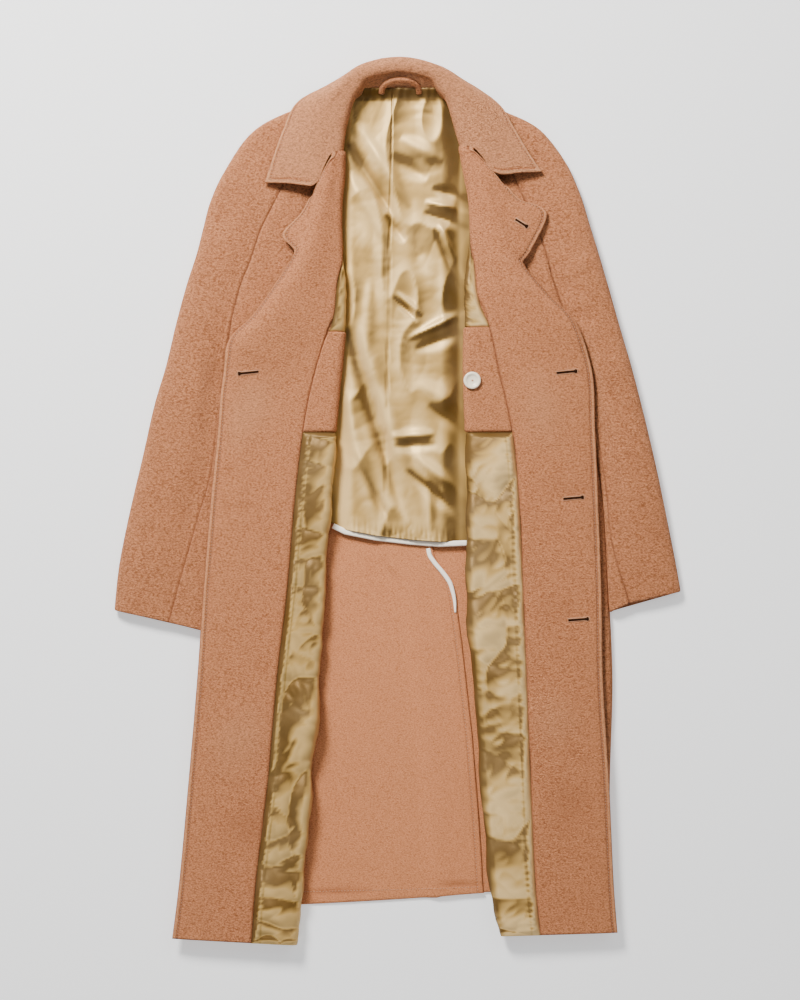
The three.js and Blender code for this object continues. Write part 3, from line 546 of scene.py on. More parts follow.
def from_row(grid, row):
    """Each point's distance from the first row or the last one, along its column."""
    steps = np.linalg.norm(np.diff(grid, axis=0), axis=2)
    if row == 0:
        return np.concatenate([np.zeros((1, grid.shape[1])), np.cumsum(steps, axis=0)])
    return np.concatenate([np.cumsum(steps[::-1], axis=0)[::-1], np.zeros((1, grid.shape[1]))])


def row_places(first, last, count, hem=True):
    """Rows of a table, closer together at the hem."""
    places = np.linspace(first, last, count)
    if not hem:
        return places
    near = last - np.array([0.0, 0.006, 0.014, 0.024, 0.036, 0.05, 0.07])[::-1]
    return np.concatenate([places[places < near[0] - 0.005], near])


# The seam at which the facing joins the lining, drawn in by its own width
def build_front(side):
    rows, right = FRONTS[side], side == "right"
    creases = CREASES[side]
    whole = row_places(0, LAST_ROW, 190)
    grid = front_grid(rows, whole, lambda r: 0, lambda r: EDGE_STATION, lambda s: edge_places(s, 62))
    n = normals(grid)
    world_grid = mirror(grid, right)
    edge, hem = from_free_edge(grid), from_row(grid, -1)
    start = edge[:, :1] - edge
    wave = 0.9 * lumps(world_grid, 70, 3.1) + 0.5 * lumps(world_grid, 24, 5.2)
    shape = marks(world_grid, creases) * (edge < 230)
    turned = rolled(np.minimum(edge, hem), 3.1)[..., None]
    drawn = (1.3 * np.exp(-((start / 2.6) ** 2)))[..., None]
    face = grid + n * (turned + drawn - 0.35 * wave[..., None] - shape[..., None] * 0)
    back = grid + n * (WOOL - 0.0 * turned)
    panel = shell(f"front_panel_{side}", mirror(face, right), mirror(back, right), outer_wool)
    put(panel, f"front_{side}")

    grid = front_grid(rows, row_places(0, LAST_ROW, 300), lambda r: r["seamAt"], lambda r: EDGE_STATION,
                      lambda s: edge_places(s, 40))
    tucked = np.clip(grid[:1, :, 2:] / 30, 0, 1) * np.array([0.5, 4.0, -2.0])
    grid = np.concatenate([grid[:1] + tucked, grid])
    n = normals(grid)
    world_grid = mirror(grid, right)
    edge, hem = from_free_edge(grid), from_row(grid, -1)
    start = edge[:, :1] - edge
    ends = np.minimum(edge, hem)
    wave = 0.7 * lumps(world_grid, 90, 1.3) + 0.45 * lumps(world_grid, 30, 8.2) + 0.25 * lumps(world_grid, 9, 2.2)
    height = BEHIND + FACING + 0.5 * wave + marks(world_grid, creases)
    height -= rolled(ends, 2.9) + groove(edge) + 1.5 * np.exp(-((start / 2.4) ** 2))
    face = grid + n * height[..., None]
    back = grid + n * (BEHIND - 0.1)
    # Painted light on the facing: painted shade in the stitched groove, along the very edge, in the drawn-in seam and
    # at the hem, a painted highlight on the rim, and the creases painted darker in their troughs and lighter on their
    # ridges.
    tone = painted_shade_and_highlight(edge) - 0.3 * np.exp(-((start / 2.0) ** 2)) - 0.2 * np.exp(-((hem / 1.0) ** 2))
    tone += np.clip(marks(world_grid, creases), -1.6, 1.6) * 0.07
    facing = shell(f"facing_panel_{side}", mirror(face, right), mirror(back, right), facing_wool, tone)
    put(facing, f"facing_{side}")
    column = int(np.argmin(np.abs(edge[150] - 6.6)))
    line = mirror(face, right)[12:-4, column] + np.array([0, 0, 0.25])
    stitch_mesh(f"topstitch_front_{side}", [line])
    return mirror(face, right), n


FACES = {side: build_front(side)[0] for side in FRONTS}


# Satin lining of the fronts: a gold acetate satin cut larger than it needs to be, so it lies in
# small crumpled folds, with a pressed pleat beside the facing's seam.
# The deepest colour is painted shade for the creases. The lightest is both the pale side of the slow mottle and the
# painted highlight on folds that face the light.
SATIN_PALE_AND_HIGHLIGHT = (0.86, 0.60, 0.27)
SATIN_MID = (0.46, 0.28, 0.08)
SATIN_PAINTED_SHADE = (0.055, 0.023, 0.003)


def satin_material():
    """Satin whose colour follows the painted shade and painted highlight of the cloth's fold attribute, with a slow
    random tone mixed in.
    """
    material, tree, shader = new_material("gold_satin")
    place = tree.nodes.new("ShaderNodeTexCoord")
    fold = tree.nodes.new("ShaderNodeAttribute")
    fold.attribute_name = "fold"
    slow = noise_node(tree, place.outputs["Object"], 14.0, 2.0, 0.6)
    weave = noise_node(tree, place.outputs["Object"], 900.0, 2.0)
    low = map_range(tree, fold.outputs["Fac"], 0.0, 0.45)
    high = map_range(tree, fold.outputs["Fac"], 0.45, 1.0)
    colour = colour_mix(tree, high, colour_mix(tree, low, SATIN_PAINTED_SHADE, SATIN_MID), SATIN_PALE_AND_HIGHLIGHT)
    tone = colour_mix(tree, map_range(tree, slow, 0.3, 0.75), SATIN_MID, SATIN_PALE_AND_HIGHLIGHT)
    blend = tree.nodes.new("ShaderNodeMix")
    blend.data_type = "RGBA"
    blend.inputs["Factor"].default_value = 0.12
    tree.links.new(colour, blend.inputs[6])
    tree.links.new(tone, blend.inputs[7])
    tree.links.new(blend.outputs[2], shader.inputs["Base Color"])
    bump = tree.nodes.new("ShaderNodeBump")
    bump.inputs["Strength"].default_value = 0.12
    bump.inputs["Distance"].default_value = 0.0004
    tree.links.new(weave, bump.inputs["Height"])
    tree.links.new(bump.outputs["Normal"], shader.inputs["Normal"])
    shader.inputs["Roughness"].default_value = 0.46
    shader.inputs["Specular IOR Level"].default_value = 0.2
    shader.inputs["Specular Tint"].default_value = (1.0, 0.84, 0.55, 1)
    shader.inputs["Metallic"].default_value = 0.25
    return material


satin = satin_material()


def crumple(grid, seed, size, height):
    """Loose swells of cloth that meet in sharp creases, larger down the cloth than across it."""
    turned = lumps(grid, size * 2.4, seed + 4) * 34
    bent = grid + turned[..., None] * np.array([0.7, 0.5, 0])
    swell = np.abs(lumps(bent, size * 1.5, seed, (0.8, 1.5)))
    cross = np.abs(lumps(bent, size * 0.9, seed + 9, (1.8, 0.9)))
    pucker = np.abs(lumps(bent, size * 0.4, seed + 13))
    return height * (1.0 * swell**0.75 + 0.5 * cross**0.8 + 0.16 * pucker)


def satin_painted_light(face, height, most, hand=1):
    """Painted light on satin: a painted highlight on the side of a fold that faces up and left towards the
    key light, painted shade on the side turned away and deep in the creases. hand is -1 on the front whose grid is cut
    mirrored."""
    n = normals(face)
    n *= np.sign(n[..., 2:].mean())
    # lean is painted light: faces tilted up and to the left, towards the key light, get lighter, and faces tilted away
    # get darker. Low folds get painted shade.
    lean = n[..., 1] * 0.8 - n[..., 0] * 0.45 * hand
    return np.clip(0.46 + 2.6 * lean + 0.35 * (height / most - 0.45), 0, 1)


POCKET_ROWS = {"right": (7.52, 10), "left": (8, 10)}
PLEAT_STATION = 8.86


def build_linings(side):
    rows, right = FRONTS[side], side == "right"
    top, foot = POCKET_ROWS[side]
    spans = {"upper": (0.9, top - 0.01, 90), "lower": (foot + 0.005, LAST_ROW, 300)}
    for name, (first, last, count) in spans.items():
        starts = 1.0 if name == "upper" else 3.2
        grid = front_grid(rows, row_places(first, last, count, name == "lower"), lambda r: starts,
                          lambda r: min(r["seamAt"], SEAM_STATION), lambda s: np.linspace(0, s, 64))
        n = normals(grid)
        place = mirror(grid, right)
        edge = from_free_edge(grid)
        ends = np.minimum(np.minimum(from_row(grid, 0), from_row(grid, -1)), edge)
        free = np.clip(ends / 6, 0, 1) ** 0.7
        flat_share = np.clip(n[..., 2], 0.2, 1) if name == "lower" else np.clip(n[..., 2], 0.1, 1)
        height = crumple(place, 11 if right else 17, 50, 14.5) * free * flat_share
        pleat = np.where(edge < 11, 0.9, 0.0) * np.clip(ends / 3, 0, 1) if name == "lower" else 0
        face = grid + n * (BEHIND + SATIN + height + pleat)[..., None]
        if name == "lower":
            puckers = np.sin(place[..., 1] * 0.75 + 3 * lumps(place, 20, 5.1)) * np.exp(-(((edge - 9) / 5) ** 2))
            face = face + n * (0.35 * puckers * free)[..., None]
        # Painted light on the front linings: painted shade along the pleat's stitched line, the satin's painted shade
        # and highlight, and the whole lining lowered, the right one by 0.4 and the left by 0.12, where the right one's
        # extra depth is painted shade for the side turned from the key light.
        pleat_line_shade = 0.25 * np.exp(-(((edge - 11) / 0.9) ** 2)) * (name == "lower")
        tone = np.clip(-pleat_line_shade + satin_painted_light(face, height, 8, -1 if right else 1) - (0.4 if right else 0.12), 0, 1)
        back = grid + n * (BEHIND + np.maximum(height * 0.98, 0))[..., None]
        lining = shell(f"front_lining_{name}_{side}", mirror(face, right), mirror(back, right), satin, tone)
        put(lining, f"lining_{name}_{side}")

    grid = front_grid(rows, np.linspace(top, foot, 70), lambda r: 3.2,
                      lambda r: min(r["seamAt"], SEAM_STATION), lambda s: np.linspace(0, s, 60))
    n = normals(grid)
    place = mirror(grid, right)
    edge = from_free_edge(grid)
    ends = np.minimum(np.minimum(from_row(grid, 0), from_row(grid, -1)), edge)
    height = BEHIND + FACING + 0.6 + 0.4 * lumps(place, 30, 6.1) - rolled(ends, 2.2)
    face = grid + n * height[..., None]
    panel = shell(f"pocket_wool_{side}", mirror(face, right), mirror(grid + n * (BEHIND - 0.1), right), facing_wool)
    put(panel, f"pocket_panel_{side}")


for side in FRONTS:
    build_linings(side)


# The sleeves: each is cut in two, a top and an underside, from the outer wool. They lie flat
# beside the body, with the seam under the arm rolled up onto the top.
SLEEVE_COLUMNS = ("yO", "O", "H", "yU", "U", "zU", "yI", "I")
SLEEVES = {
    "right": table(SLEEVE_COLUMNS, [
    (533.6, 95.2, 14),
    (518.3, 149.8, 16),
    (490.4, 196.3, 18),
    (440.5, 230.9, 20),
    (400.6, 249.5, 22),
    (364.7, 259.2, 24),
    (330, 268.1, 26),
    (288.9, 281.4, 26),
    (239.7, 294.7, 25),
    (181.1, 308.7, 25, 143, 234.9, 13.5, 143, 234.9),
    (129.3, 324, 25, 94, 240, 14, 93, 237.9),
    (53.5, 341.3, 24, 37.5, 248, 15.5, 30, 241.5),
    (-21, 358.6, 22, -25, 266.1, 17, -40, 246),
    (-84.9, 371.2, 20, -94.2, 286.1, 17.5, -108, 250.2),
    (-144.2, 377.5, 17, -160, 304, 16.5, -172.6, 254.8),
    ]),
    "left": table(SLEEVE_COLUMNS, [
    (533.6, 102.9, 14),
    (519, 146.8, 16),
    (496.4, 189.4, 18),
    (455.1, 222.6, 20),
    (412.6, 242.6, 22),
    (368.7, 256.6, 24),
    (330.1, 268.5, 26),
    (282.2, 282.5, 26),
    (239.7, 294.5, 25),
    (175.8, 313.1, 25, 143, 250.6, 13.5, 143, 250.6),
    (110.7, 329.8, 25, 83, 265.6, 14, 82.7, 263.6),
    (45.5, 345, 24, 17, 276.4, 15, 16, 274.2),
    (-18.4, 358.3, 22, -45, 282.5, 16, -46, 279.3),
    (-71.6, 368.9, 20, -88.8, 293.5, 17, -95, 282),
    (-119.2, 377.5, 17, -134.7, 308.2, 16, -146.3, 284.8),
    ]),
}
CUFF_MID = 8.0
SLEEVE_RISE = ((0, 0), (0.05, 0.38), (0.2, 0.7), (0.55, 0.93), (1, 1))
HOLLOWS = {
    "right": table(MARK_COLUMNS, [(-262, 250, -250, 150, 16, -2.5), (-330, 60, -300, 200, 30, 1.5)]),
    "left": table(MARK_COLUMNS, [
        (206, 300, 224, 268, 9, -6), (236, 262, 262, 236, 10, -3), (250, 330, 228, 296, 12, 2.5),
        (262, 190, 300, 150, 26, 1.5), (272, 60, 300, 10, 20, -1.5),
    ]),
}


def sleeve_controls(side, at):
    s, a = row_at(SLEEVES[side], at), row_at(FRONTS[side], min(at, UNDERARM))
    closed = at >= UNDERARM
    if closed and side == "left":
        s["I"] -= 2.6 * smooth(at, UNDERARM, UNDERARM + 0.6)
    outer = np.array((s["O"], s["yO"], CUFF_MID))
    seam = np.array((s["U"], s["yU"], s["zU"]) if closed else (a["side"] + GAP, a["ySide"], a["zSide"]))
    foot = np.array((s["I"], s["yI"], 0) if closed else (a["side"] + GAP, a["ySide"], 0))

    def between(start, end, share, z):
        p = lerp(start, end, share)
        return np.array((p[0], p[1], z))

    width = math.hypot(seam[0] - outer[0], seam[1] - outer[1])
    reach = min(22, 0.4 * width) / width
    top = [between(outer, seam, share * reach, lerp(CUFF_MID, s["H"], rise)) for share, rise in SLEEVE_RISE]
    top.append(between(outer, seam, 0.6, s["H"]))
    top.append(between(outer, seam, 0.86, lerp(seam[2], s["H"], 0.18)))
    top.append(between(outer, seam, 0.95, lerp(seam[2], s["H"], 0.04)))
    top.append(seam)
    if closed:
        heights = ((0.008, lerp(CUFF_MID, seam[2], 0.55)), (0, CUFF_MID * 0.8), (0.03, 1.8), (0.12, 0))
        under = [seam] + [between(foot, outer, share, z) for share, z in heights]
    else:
        under = [between(foot, outer, share, 0) for share in (0, 0.01, 0.03, 0.07, 0.12)]
    under += [between(foot, outer, share, 0) for share in (0.4, 0.75, 0.88)]
    under += [between(foot, outer, 0.965, 1.6), between(foot, outer, 0.99, 4.6), outer]
    return top, under


def build_sleeve(side):
    right = side == "right"
    last = len(SLEEVES[side]) - 1
    places = row_places(0, last, 210)[::-1]
    for part, columns in (("top", 64), ("under", 56)):
        lines = []
        for at in places:
            controls = sleeve_controls(side, at)[0 if part == "top" else 1]
            dense = curve_points(controls, np.linspace(0, len(controls) - 1, 200))
            lines.append(resample(dense, edge_places(lengths(dense)[-1], columns - 20)))
        grid = np.array(lines)
        n = normals(grid)
        place = mirror(grid, right)
        seam, cuff = from_free_edge(grid), from_row(grid, 0)
        up = np.clip(n[..., 2], 0, 1)
        wave = 1.3 * lumps(place, 75, 4.7) + 0.9 * lumps(place, 28, 7.3) + 0.5 * lumps(place, 10, 9.4)
        height = (wave + marks(place, HOLLOWS[side])) * up * np.clip(seam / 14, 0, 1)
        if part == "top":
            height = height - 1.3 * np.exp(-((seam / 2.6) ** 2)) - groove(seam, 6.6, 1.0, 0.5)
        height = height - rolled(cuff, 3) * 0.8 - groove(cuff, 14, 1.2, 0.5) * up
        face = grid + n * height[..., None]
        face[..., 2] = np.maximum(face[..., 2], 0)
        back = grid - n * WOOL
        # Painted shade along the drawn-in seam on the top of the sleeve.
        tone = 0.5 - 0.3 * np.exp(-((seam / 2.2) ** 2)) if part == "top" else None
        sleeve = shell(f"sleeve_{part}_cloth_{side}", mirror(face, right), mirror(back, right), outer_wool, tone)
        put(sleeve, f"sleeve_{part}_{side}")


for side in SLEEVES:
    build_sleeve(side)


# The collar: a stand and a leaf cut in one, in two layers of the wool, turned out through its
# edge and topstitched. It rolls over at the back of the neck and lies on the shoulders.
COLLAR_COLUMNS = ("xNeck", "yNeck", "zNeck", "xRoll", "yRoll", "zRoll", "radius",
                  "xMid", "yMid", "zMid", "xEdge", "yEdge", "zEdge")
COLLAR = table(COLLAR_COLUMNS, [
    (-78, 464, 15, -76.8, 463.9, 31.5, 9, -110.6, 419.8, 31, -176.5, 423, 22.5),
    (-79, 492, 14, -73.3, 493, 32, 9, -108, 470, 33, -165.5, 455, 23),
    (-76, 514, 14, -68, 515, 34, 9, -100, 508, 35, -151.8, 491, 21),
    (-69, 530, 12, -61.3, 535, 36, 8.5, -86, 535, 38, -135, 525, 19),
    (-58, 540, 8, -52, 549, 38, 8, -68, 556, 39, -93, 551, 8),
    (-43, 543.5, 5.5, -39.5, 563, 40, 7, -44.5, 574, 38, -46, 576, 4),
    (3.5, 544.5, 5, 3.5, 571.1, 41, 7, 3.5, 583.1, 38, 3.5, 582, 3),
    (48.5, 543.5, 5.5, 44, 563, 40, 7, 50, 573, 38, 53, 575, 4),
    (63, 540, 8, 57, 548.5, 38, 8, 76, 557, 39, 102, 549, 8),
    (75, 530, 12, 68.5, 534, 36, 8.5, 96, 534, 38, 137, 521, 19),
    (82, 514, 14, 75.7, 514, 34, 9, 107, 506, 35, 155, 493, 21),
    (84.5, 492, 15.5, 81.7, 492.5, 32, 9, 112, 475, 33, 174.8, 461, 23),
    (88, 472.5, 16.5, 88.7, 471.4, 31.5, 9, 132.8, 434, 31, 192, 437, 22.5),
])


def collar_controls(at):
    r = row_at(COLLAR, at)
    mid = np.array((r["xMid"], r["yMid"], r["zMid"]))
    edge = np.array((r["xEdge"], r["yEdge"], r["zEdge"]))
    t = min(max(min(at, len(COLLAR) - 1 - at) / 3, 0), 1)
    out = np.array((r["xMid"] - r["xRoll"], (r["yMid"] - r["yRoll"]) * t * t * (3 - 2 * t), 0))
    out /= np.linalg.norm(out)
    points = [np.array((r["xNeck"], r["yNeck"], r["zNeck"]))]
    for turn in np.radians((180, 135, 90)):
        rise = r["zRoll"] - r["radius"] + r["radius"] * math.sin(turn)
        points.append(np.array((r["xRoll"], r["yRoll"], rise)) + out * r["radius"] * (1 + math.cos(turn)))
    points.append(lerp(points[3], mid, 0.5))
    half = lerp(mid, edge, 0.5)
    half[2] = lerp(r["zMid"], r["zEdge"], 0.42)
    return points + [mid, half, edge]


def build_collar():
    places = np.linspace(0, len(COLLAR) - 1, 200)
    near = np.array([0.006, 0.013, 0.022, 0.033, 0.046, 0.06, 0.075])
    places = np.concatenate([[0], near, places[(places > 0.08) & (places < places[-1] - 0.08)],
                             places[-1] - near[::-1], [places[-1]]])
    lines = []
    for at in places:
        controls = collar_controls(at)
        dense = curve_points(controls, np.linspace(0, len(controls) - 1, 200))
        lines.append(resample(dense, edge_places(lengths(dense)[-1], 40)))
    grid = np.array(lines)
    n = normals(grid)
    leaf = from_free_edge(grid)
    ends = np.minimum(from_row(grid, 0), from_row(grid, -1))
    out = leaf < 62
    edge = np.where(out, np.minimum(leaf, ends), leaf)
    wave = 0.8 * lumps(grid, 60, 2.9) + 0.5 * lumps(grid, 22, 6.6) + 0.3 * lumps(grid, 9, 3.8)
    height = 2 * FACING + GAP + 0.6 * wave - rolled(edge, 2.9) - groove(edge)
    middle = FACING + GAP / 2
    # Painted light on the collar: painted shade in the stitched groove and along the edge, a painted highlight on the
    # rim, and the whole collar 0.14 lighter, painted light where the key light falls on the top of the coat.
    tone = painted_shade_and_highlight(edge) + 0.14
    upper = shell("collar_upper_cloth", grid + n * height[..., None], grid + n * middle, outer_wool, tone)
    put(upper, "upper_collar")
    low = grid + n * rolled(edge, 2.7)[..., None]
    under = shell("collar_under_cloth", grid + n * middle, low, outer_wool)
    put(under, "under_collar")
    face = grid + n * height[..., None]
    column = int(np.argmin(np.abs(leaf[100] - 6.6)))
    lift = np.array([0, 0, 0.25])
    lines = [face[9:-9, column] + lift]
    for rows in (9, -10):
        lines.append(face[rows, 24 : column + 1] + lift)
    stitch_mesh("topstitch_collar", lines)


build_collar()


# The back: two halves of the wool joined down the middle, lying face down, so that its plain
# felted inside shows below the lining. The right half laps over the left one at the vent.
CENTRE = table(("y", "under", "over"), [
    (549, 3.5, 3.5), (470, 7, 7), (330, 14, 14), (180, 22, 22), (40, 30, 30), (-10, 32, 32),
    (-45, 34, 44), (-77, 35, 51), (-105, 36, 72.5), (-130, 37, 78.5), (-190, 40, 86.5),
    (-310, 46, 100), (-420, 52, 109), (-530, 58, 116),
])
BACK_HEM = table(("x", "y"), [
    (-263, -533), (-190, -537), (-126, -539), (-50, -533), (30, -528.5), (113, -520.8), (200, -519), (280, -519.8),
])
NECK_RISE = table(("out", "rise"), [(0, 31), (35, 30), (52, 26), (66, 17), (80, 5), (90, 0), (400, 0)])
SIDE_FOLD = 7.5
VENT_TOP = 10


def value_at(rows, source, target, at):
    """A table's value between its rows, in straight pieces."""
    x, y = [r[source] for r in rows], [r[target] for r in rows]
    if x[0] > x[-1]:
        x, y = x[::-1], y[::-1]
    return float(np.interp(at, x, y))


def build_back(side):
    rows, right = FRONTS[side], side == "right"
    places = row_places(0, LAST_ROW, 210)
    lines = []
    for at in places:
        r = row_at(rows, at)
        closed = smooth(at, UNDERARM - 1, UNDERARM)
        begin = r["side"] - GAP * (1 - closed)
        end = GAP - value_at(CENTRE, "y", "over", r["ySide"]) if right else value_at(CENTRE, "y", "under", r["ySide"])
        lift = (WOOL + GAP) * smooth(-r["ySide"], -90, -10) if right else 0
        scale = min(1, (begin - end) / 150)
        insets, heights = (0, 1.2, 4.8, 12), (SIDE_FOLD - GAP, 4.2, 1.2, 0)
        line = [(begin - i, h * closed) for i, h in zip(insets, heights)]
        line += [(lerp(begin - 12, end + 76 * scale, share), 0) for share in (0.3, 0.65, 1)]
        line += [(end + back * scale, lift) for back in (64, 30, 0)]
        points = []
        hem = smooth(at, LAST_ROW - 1, LAST_ROW)
        for out, z in line:
            rise = value_at(NECK_RISE, "out", "rise", abs(out + (3.5 if right else -3.5)))
            y = r["ySide"] + rise * max(0, 1 - at / 3)
            points.append((out, lerp(y, value_at(BACK_HEM, "x", "y", -out if right else out), hem), z))
        dense = curve_points(points, np.linspace(0, len(points) - 1, 200))
        lines.append(resample(dense, edge_places(lengths(dense)[-1], 50)))
    grid = np.array(lines)
    grid[..., 2] = np.maximum(grid[..., 2], 0)
    n = normals(grid)
    place = mirror(grid, right)
    edge, hem = from_free_edge(grid), from_row(grid, -1)
    vent = smooth(-place[..., 1], 20, 60)
    wave = 0.5 * lumps(place, 80, 5.5) + 0.3 * lumps(place, 26, 2.5)
    seam = np.exp(-((edge / 1.8) ** 2)) * (1 - vent)
    raised = WOOL + 0.5 + 0.6 * wave - 1.2 * seam - rolled(np.minimum(hem, np.where(vent > 0.5, edge, 99)), 2.6)
    raised -= groove(hem, 16, 1.1, 0.6) + groove(edge, 8, 1.0, 0.5) * vent
    under = grid.copy()
    face = grid - n * raised[..., None]
    # Painted shade in the hem's stitched groove, along the centre seam above the vent and in the vent's stitched
    # groove.
    tone = 0.5 - 0.28 * np.exp(-(((hem - 16) / 1.2) ** 2)) - 0.25 * np.exp(-((edge / 1.6) ** 2)) * (1 - vent)
    tone -= 0.25 * np.exp(-(((edge - 8) / 1.1) ** 2)) * vent
    panel = shell(f"back_panel_{side}", mirror(face, right), mirror(under, right), felt_wool, tone)
    put(panel, f"back_{side}")
    top = mirror(face, right)
    row = int(np.argmin(np.abs(hem[:, 30] - 16)))
    lines = [top[row, 12:-6] + np.array([0, 0, 0.2])]
    if right:
        column = int(np.argmin(np.abs(edge[150] - 8)))
        lines.append(top[130:-5, column] + np.array([0, 0, 0.2]))
    stitch_mesh(f"topstitch_back_{side}", lines)
    return panel, flat_cut(grid)


BACKS = {side: build_back(side) for side in FRONTS}


# The back lining: gold satin down to the hips, in two halves with a pleat down the middle, loose
# over the wool, so it lies in long soft folds. Its hem is bound and slightly gathered.
BACK_LINING = table(("y", "right", "left"), [
(545.5, -60, 64), (530, -68, 74), (505, -80, 88), (460, -122, 128), (400, -150, 158),
    (320, -182, 186), (220, -206, 210), (143, -218, 232), (60, -224, 250), (-20, -228, 260), (-48, -228, 262),
])
LINING_HEM = table(("x", "y"), [
    (-228, -12), (-150, -16), (-100, -21), (-84, -29), (-70, -36), (-30, -44), (16, -49.5), (56, -52.5), (92, -51), (150, -44), (262, -30),
])
LINING_FOLDS = table(MARK_COLUMNS, [
    (-62, 440, -32, 340, 14, 7),
    (-34, 470, 40, 480, 14, 6),
    (70, 330, 16, 332, 10, 7),
    (60, 318, 84, 250, 9, 6),
    (-66, 260, 10, -30, 22, 9),
    (10, 20, 80, 60, 14, 5),
    (16, 260, 78, 190, 12, 5),
    (-10, 130, 60, 60, 12, 4),
])


# The folds that show most: each runs between two points, as a ridge or, below nought, a trough
LINING_CREASES = table(MARK_COLUMNS, [
    (-70, 484, 0, 372, 7, -7.5), (-54, 506, 16, 392, 8, 5), (-68, 440, -10, 340, 9, 4.5),
    (-16, 384, 10, 346, 6, -4.5), (-60, 398, -16, 300, 12, 3.5), (46, 418, 104, 402, 6, -7.5),
    (36, 400, 102, 386, 5, 6.5), (34, 386, 102, 364, 6, -6.5), (54, 376, 94, 286, 4, 6.5),
    (48, 366, 84, 284, 4, -6.5), (-7, 274, 28, 240, 2.6, -4.5), (-2, 280, 34, 248, 3, 3.5),
    (14, 218, 104, 260, 5, 6), (22, 202, 100, 232, 7, -4.5), (-74, 262, 10, -30, 9, -9),
    (-58, 262, 30, -20, 10, 4.5), (-84, 190, -24, -44, 9, 5.5), (-12, 87, 50, 91, 6, 4.5),
    (-8, 74, 54, 76, 6, -3.5), (-60, 66, -4, -40, 5, -4.5), (10, 44, 88, -22, 6, -5.5),
    (22, 62, 96, 4, 7, 4.5), (26, 160, 96, 122, 10, 3.5), (40, 130, 92, 92, 8, -3.5),
    (-10, 462, 40, 430, 9, -4), (4, 486, 60, 452, 9, 4), (30, 330, 60, 262, 12, 3), (-36, 300, -44, 180, 8, 2.5),
])


def lining_height(place):
    """How high the lining lies, and how far its folds stand above their troughs."""
    shown = smooth(84 - np.abs(place[..., 0]), 0, 26)
    base = 2 * WOOL + GAP + smooth(-place[..., 1], -120, 0) * (WOOL + GAP) - WOOL
    soft = 3.2 * np.clip(1 - 2.2 * np.abs(lumps(place, 62, 12.5, (0.7, 1.8))), 0, 1) ** 1.6
    small = crumple(place, 21, 26, 2.0) * (0.5 + 0.5 * lumps(place, 70, 2.2))
    seam = place[..., 0] + 7.5 - 0.018 * (500 - place[..., 1]) * -1
    pleat = 1.2 * smooth(-np.abs(seam), -1.5, -0.2)
    folds = 6.5 + marks(place, LINING_CREASES) + soft + small
    folds = np.where(folds > 0, folds, 0)
    return base + shown * (folds - pleat), np.clip((folds - pleat) / 13, 0, 1)


def value_beside(grid):
    """How far each point lies inside the nearer of the two fronts' folds."""
    beside = []
    for rows, sign in ((FRONT_RIGHT, -1), (FRONT_LEFT, 1)):
        y = [r["yFold"] for r in rows][::-1]
        fold = [r["fold"] for r in rows][::-1]
        beside.append(np.interp(grid[..., 1], y, fold) - sign * grid[..., 0])
    return np.maximum(np.minimum(*beside), 0)


def build_back_lining():
    shares = np.linspace(0, 1, 230)
    first, last = BACK_LINING[0]["y"], BACK_LINING[-1]["y"]
    lines = []
    for share in shares:
        y = lerp(first, last, share)
        low, high = value_at(BACK_LINING, "y", "right", y), value_at(BACK_LINING, "y", "left", y)
        xs = np.linspace(high, low, 170)
        hem = np.array([value_at(LINING_HEM, "x", "y", x) for x in xs])
        down = lerp(np.full(xs.shape, y), hem, smooth(share, 0.9, 1))
        down += 4.0 * smooth(-share, -0.02, 0)
        lines.append(np.stack([xs, down, np.zeros(xs.shape)], axis=1))
    grid = np.array(lines)
    height, tone = lining_height(grid)
    hem = from_row(grid, -1)
    puckers = 0.7 * np.sin(grid[..., 0] * 0.9 + 2 * lumps(grid, 30, 3.3)) * np.exp(-((hem / 12) ** 2))
    face = grid.copy()
    face[..., 2] = height + SATIN + puckers * smooth(80 - np.abs(grid[..., 0]), 0, 20)
    back = face.copy()
    back[..., 2] -= SATIN
    stand = np.maximum(grid[..., 1] - 538, 0)
    gathers = 0.8 * np.sin(grid[..., 0] * 0.55 + 3 * lumps(grid, 14, 4.4)) * np.exp(-(((547 - grid[..., 1]) / 9) ** 2))
    for layer in (face, back):
        layer[..., 2] += stand * 1.05 + gathers
    # Painted light on the back lining: the satin's painted shade and highlight, lowered by 0.2 over the whole lining,
    # then painted shadow at the neck under the collar and painted shade beside the fronts' folds where they roll over
    # it.
    tone = satin_painted_light(face, tone * 16, 9) - 0.2
    tone -= 0.38 * np.exp(-(((548 - grid[..., 1]) / 16) ** 2))
    rolls = value_beside(grid)
    tone -= 0.34 * np.exp(-((rolls / 11) ** 2))
    lining = shell("back_lining_satin", face, back, satin, np.clip(tone, 0, 1))
    put(lining, "back_lining")
    return lining, flat_cut(grid)


back_lining, lining_cut = build_back_lining()


# The bindings: cream bias tape folded over the raw hem of the back lining and over the edge of
# the vent, sewn through close to its edge.
CREAM = (0.95, 0.86, 0.73)
binding_material, binding_tree, binding_shader = new_material("cream_tape")
binding_shader.inputs["Base Color"].default_value = (*CREAM, 1)
binding_shader.inputs["Roughness"].default_value = 0.6
VENT_BINDING = table(("x", "y", "width"), [
    (41, -61.5, 6), (43, -71, 6), (50, -81.5, 6), (60.5, -94, 6), (69.5, -107, 6), (73.5, -119, 5.5), (76, -131, 4.5), (77, -147, 2.5),
])


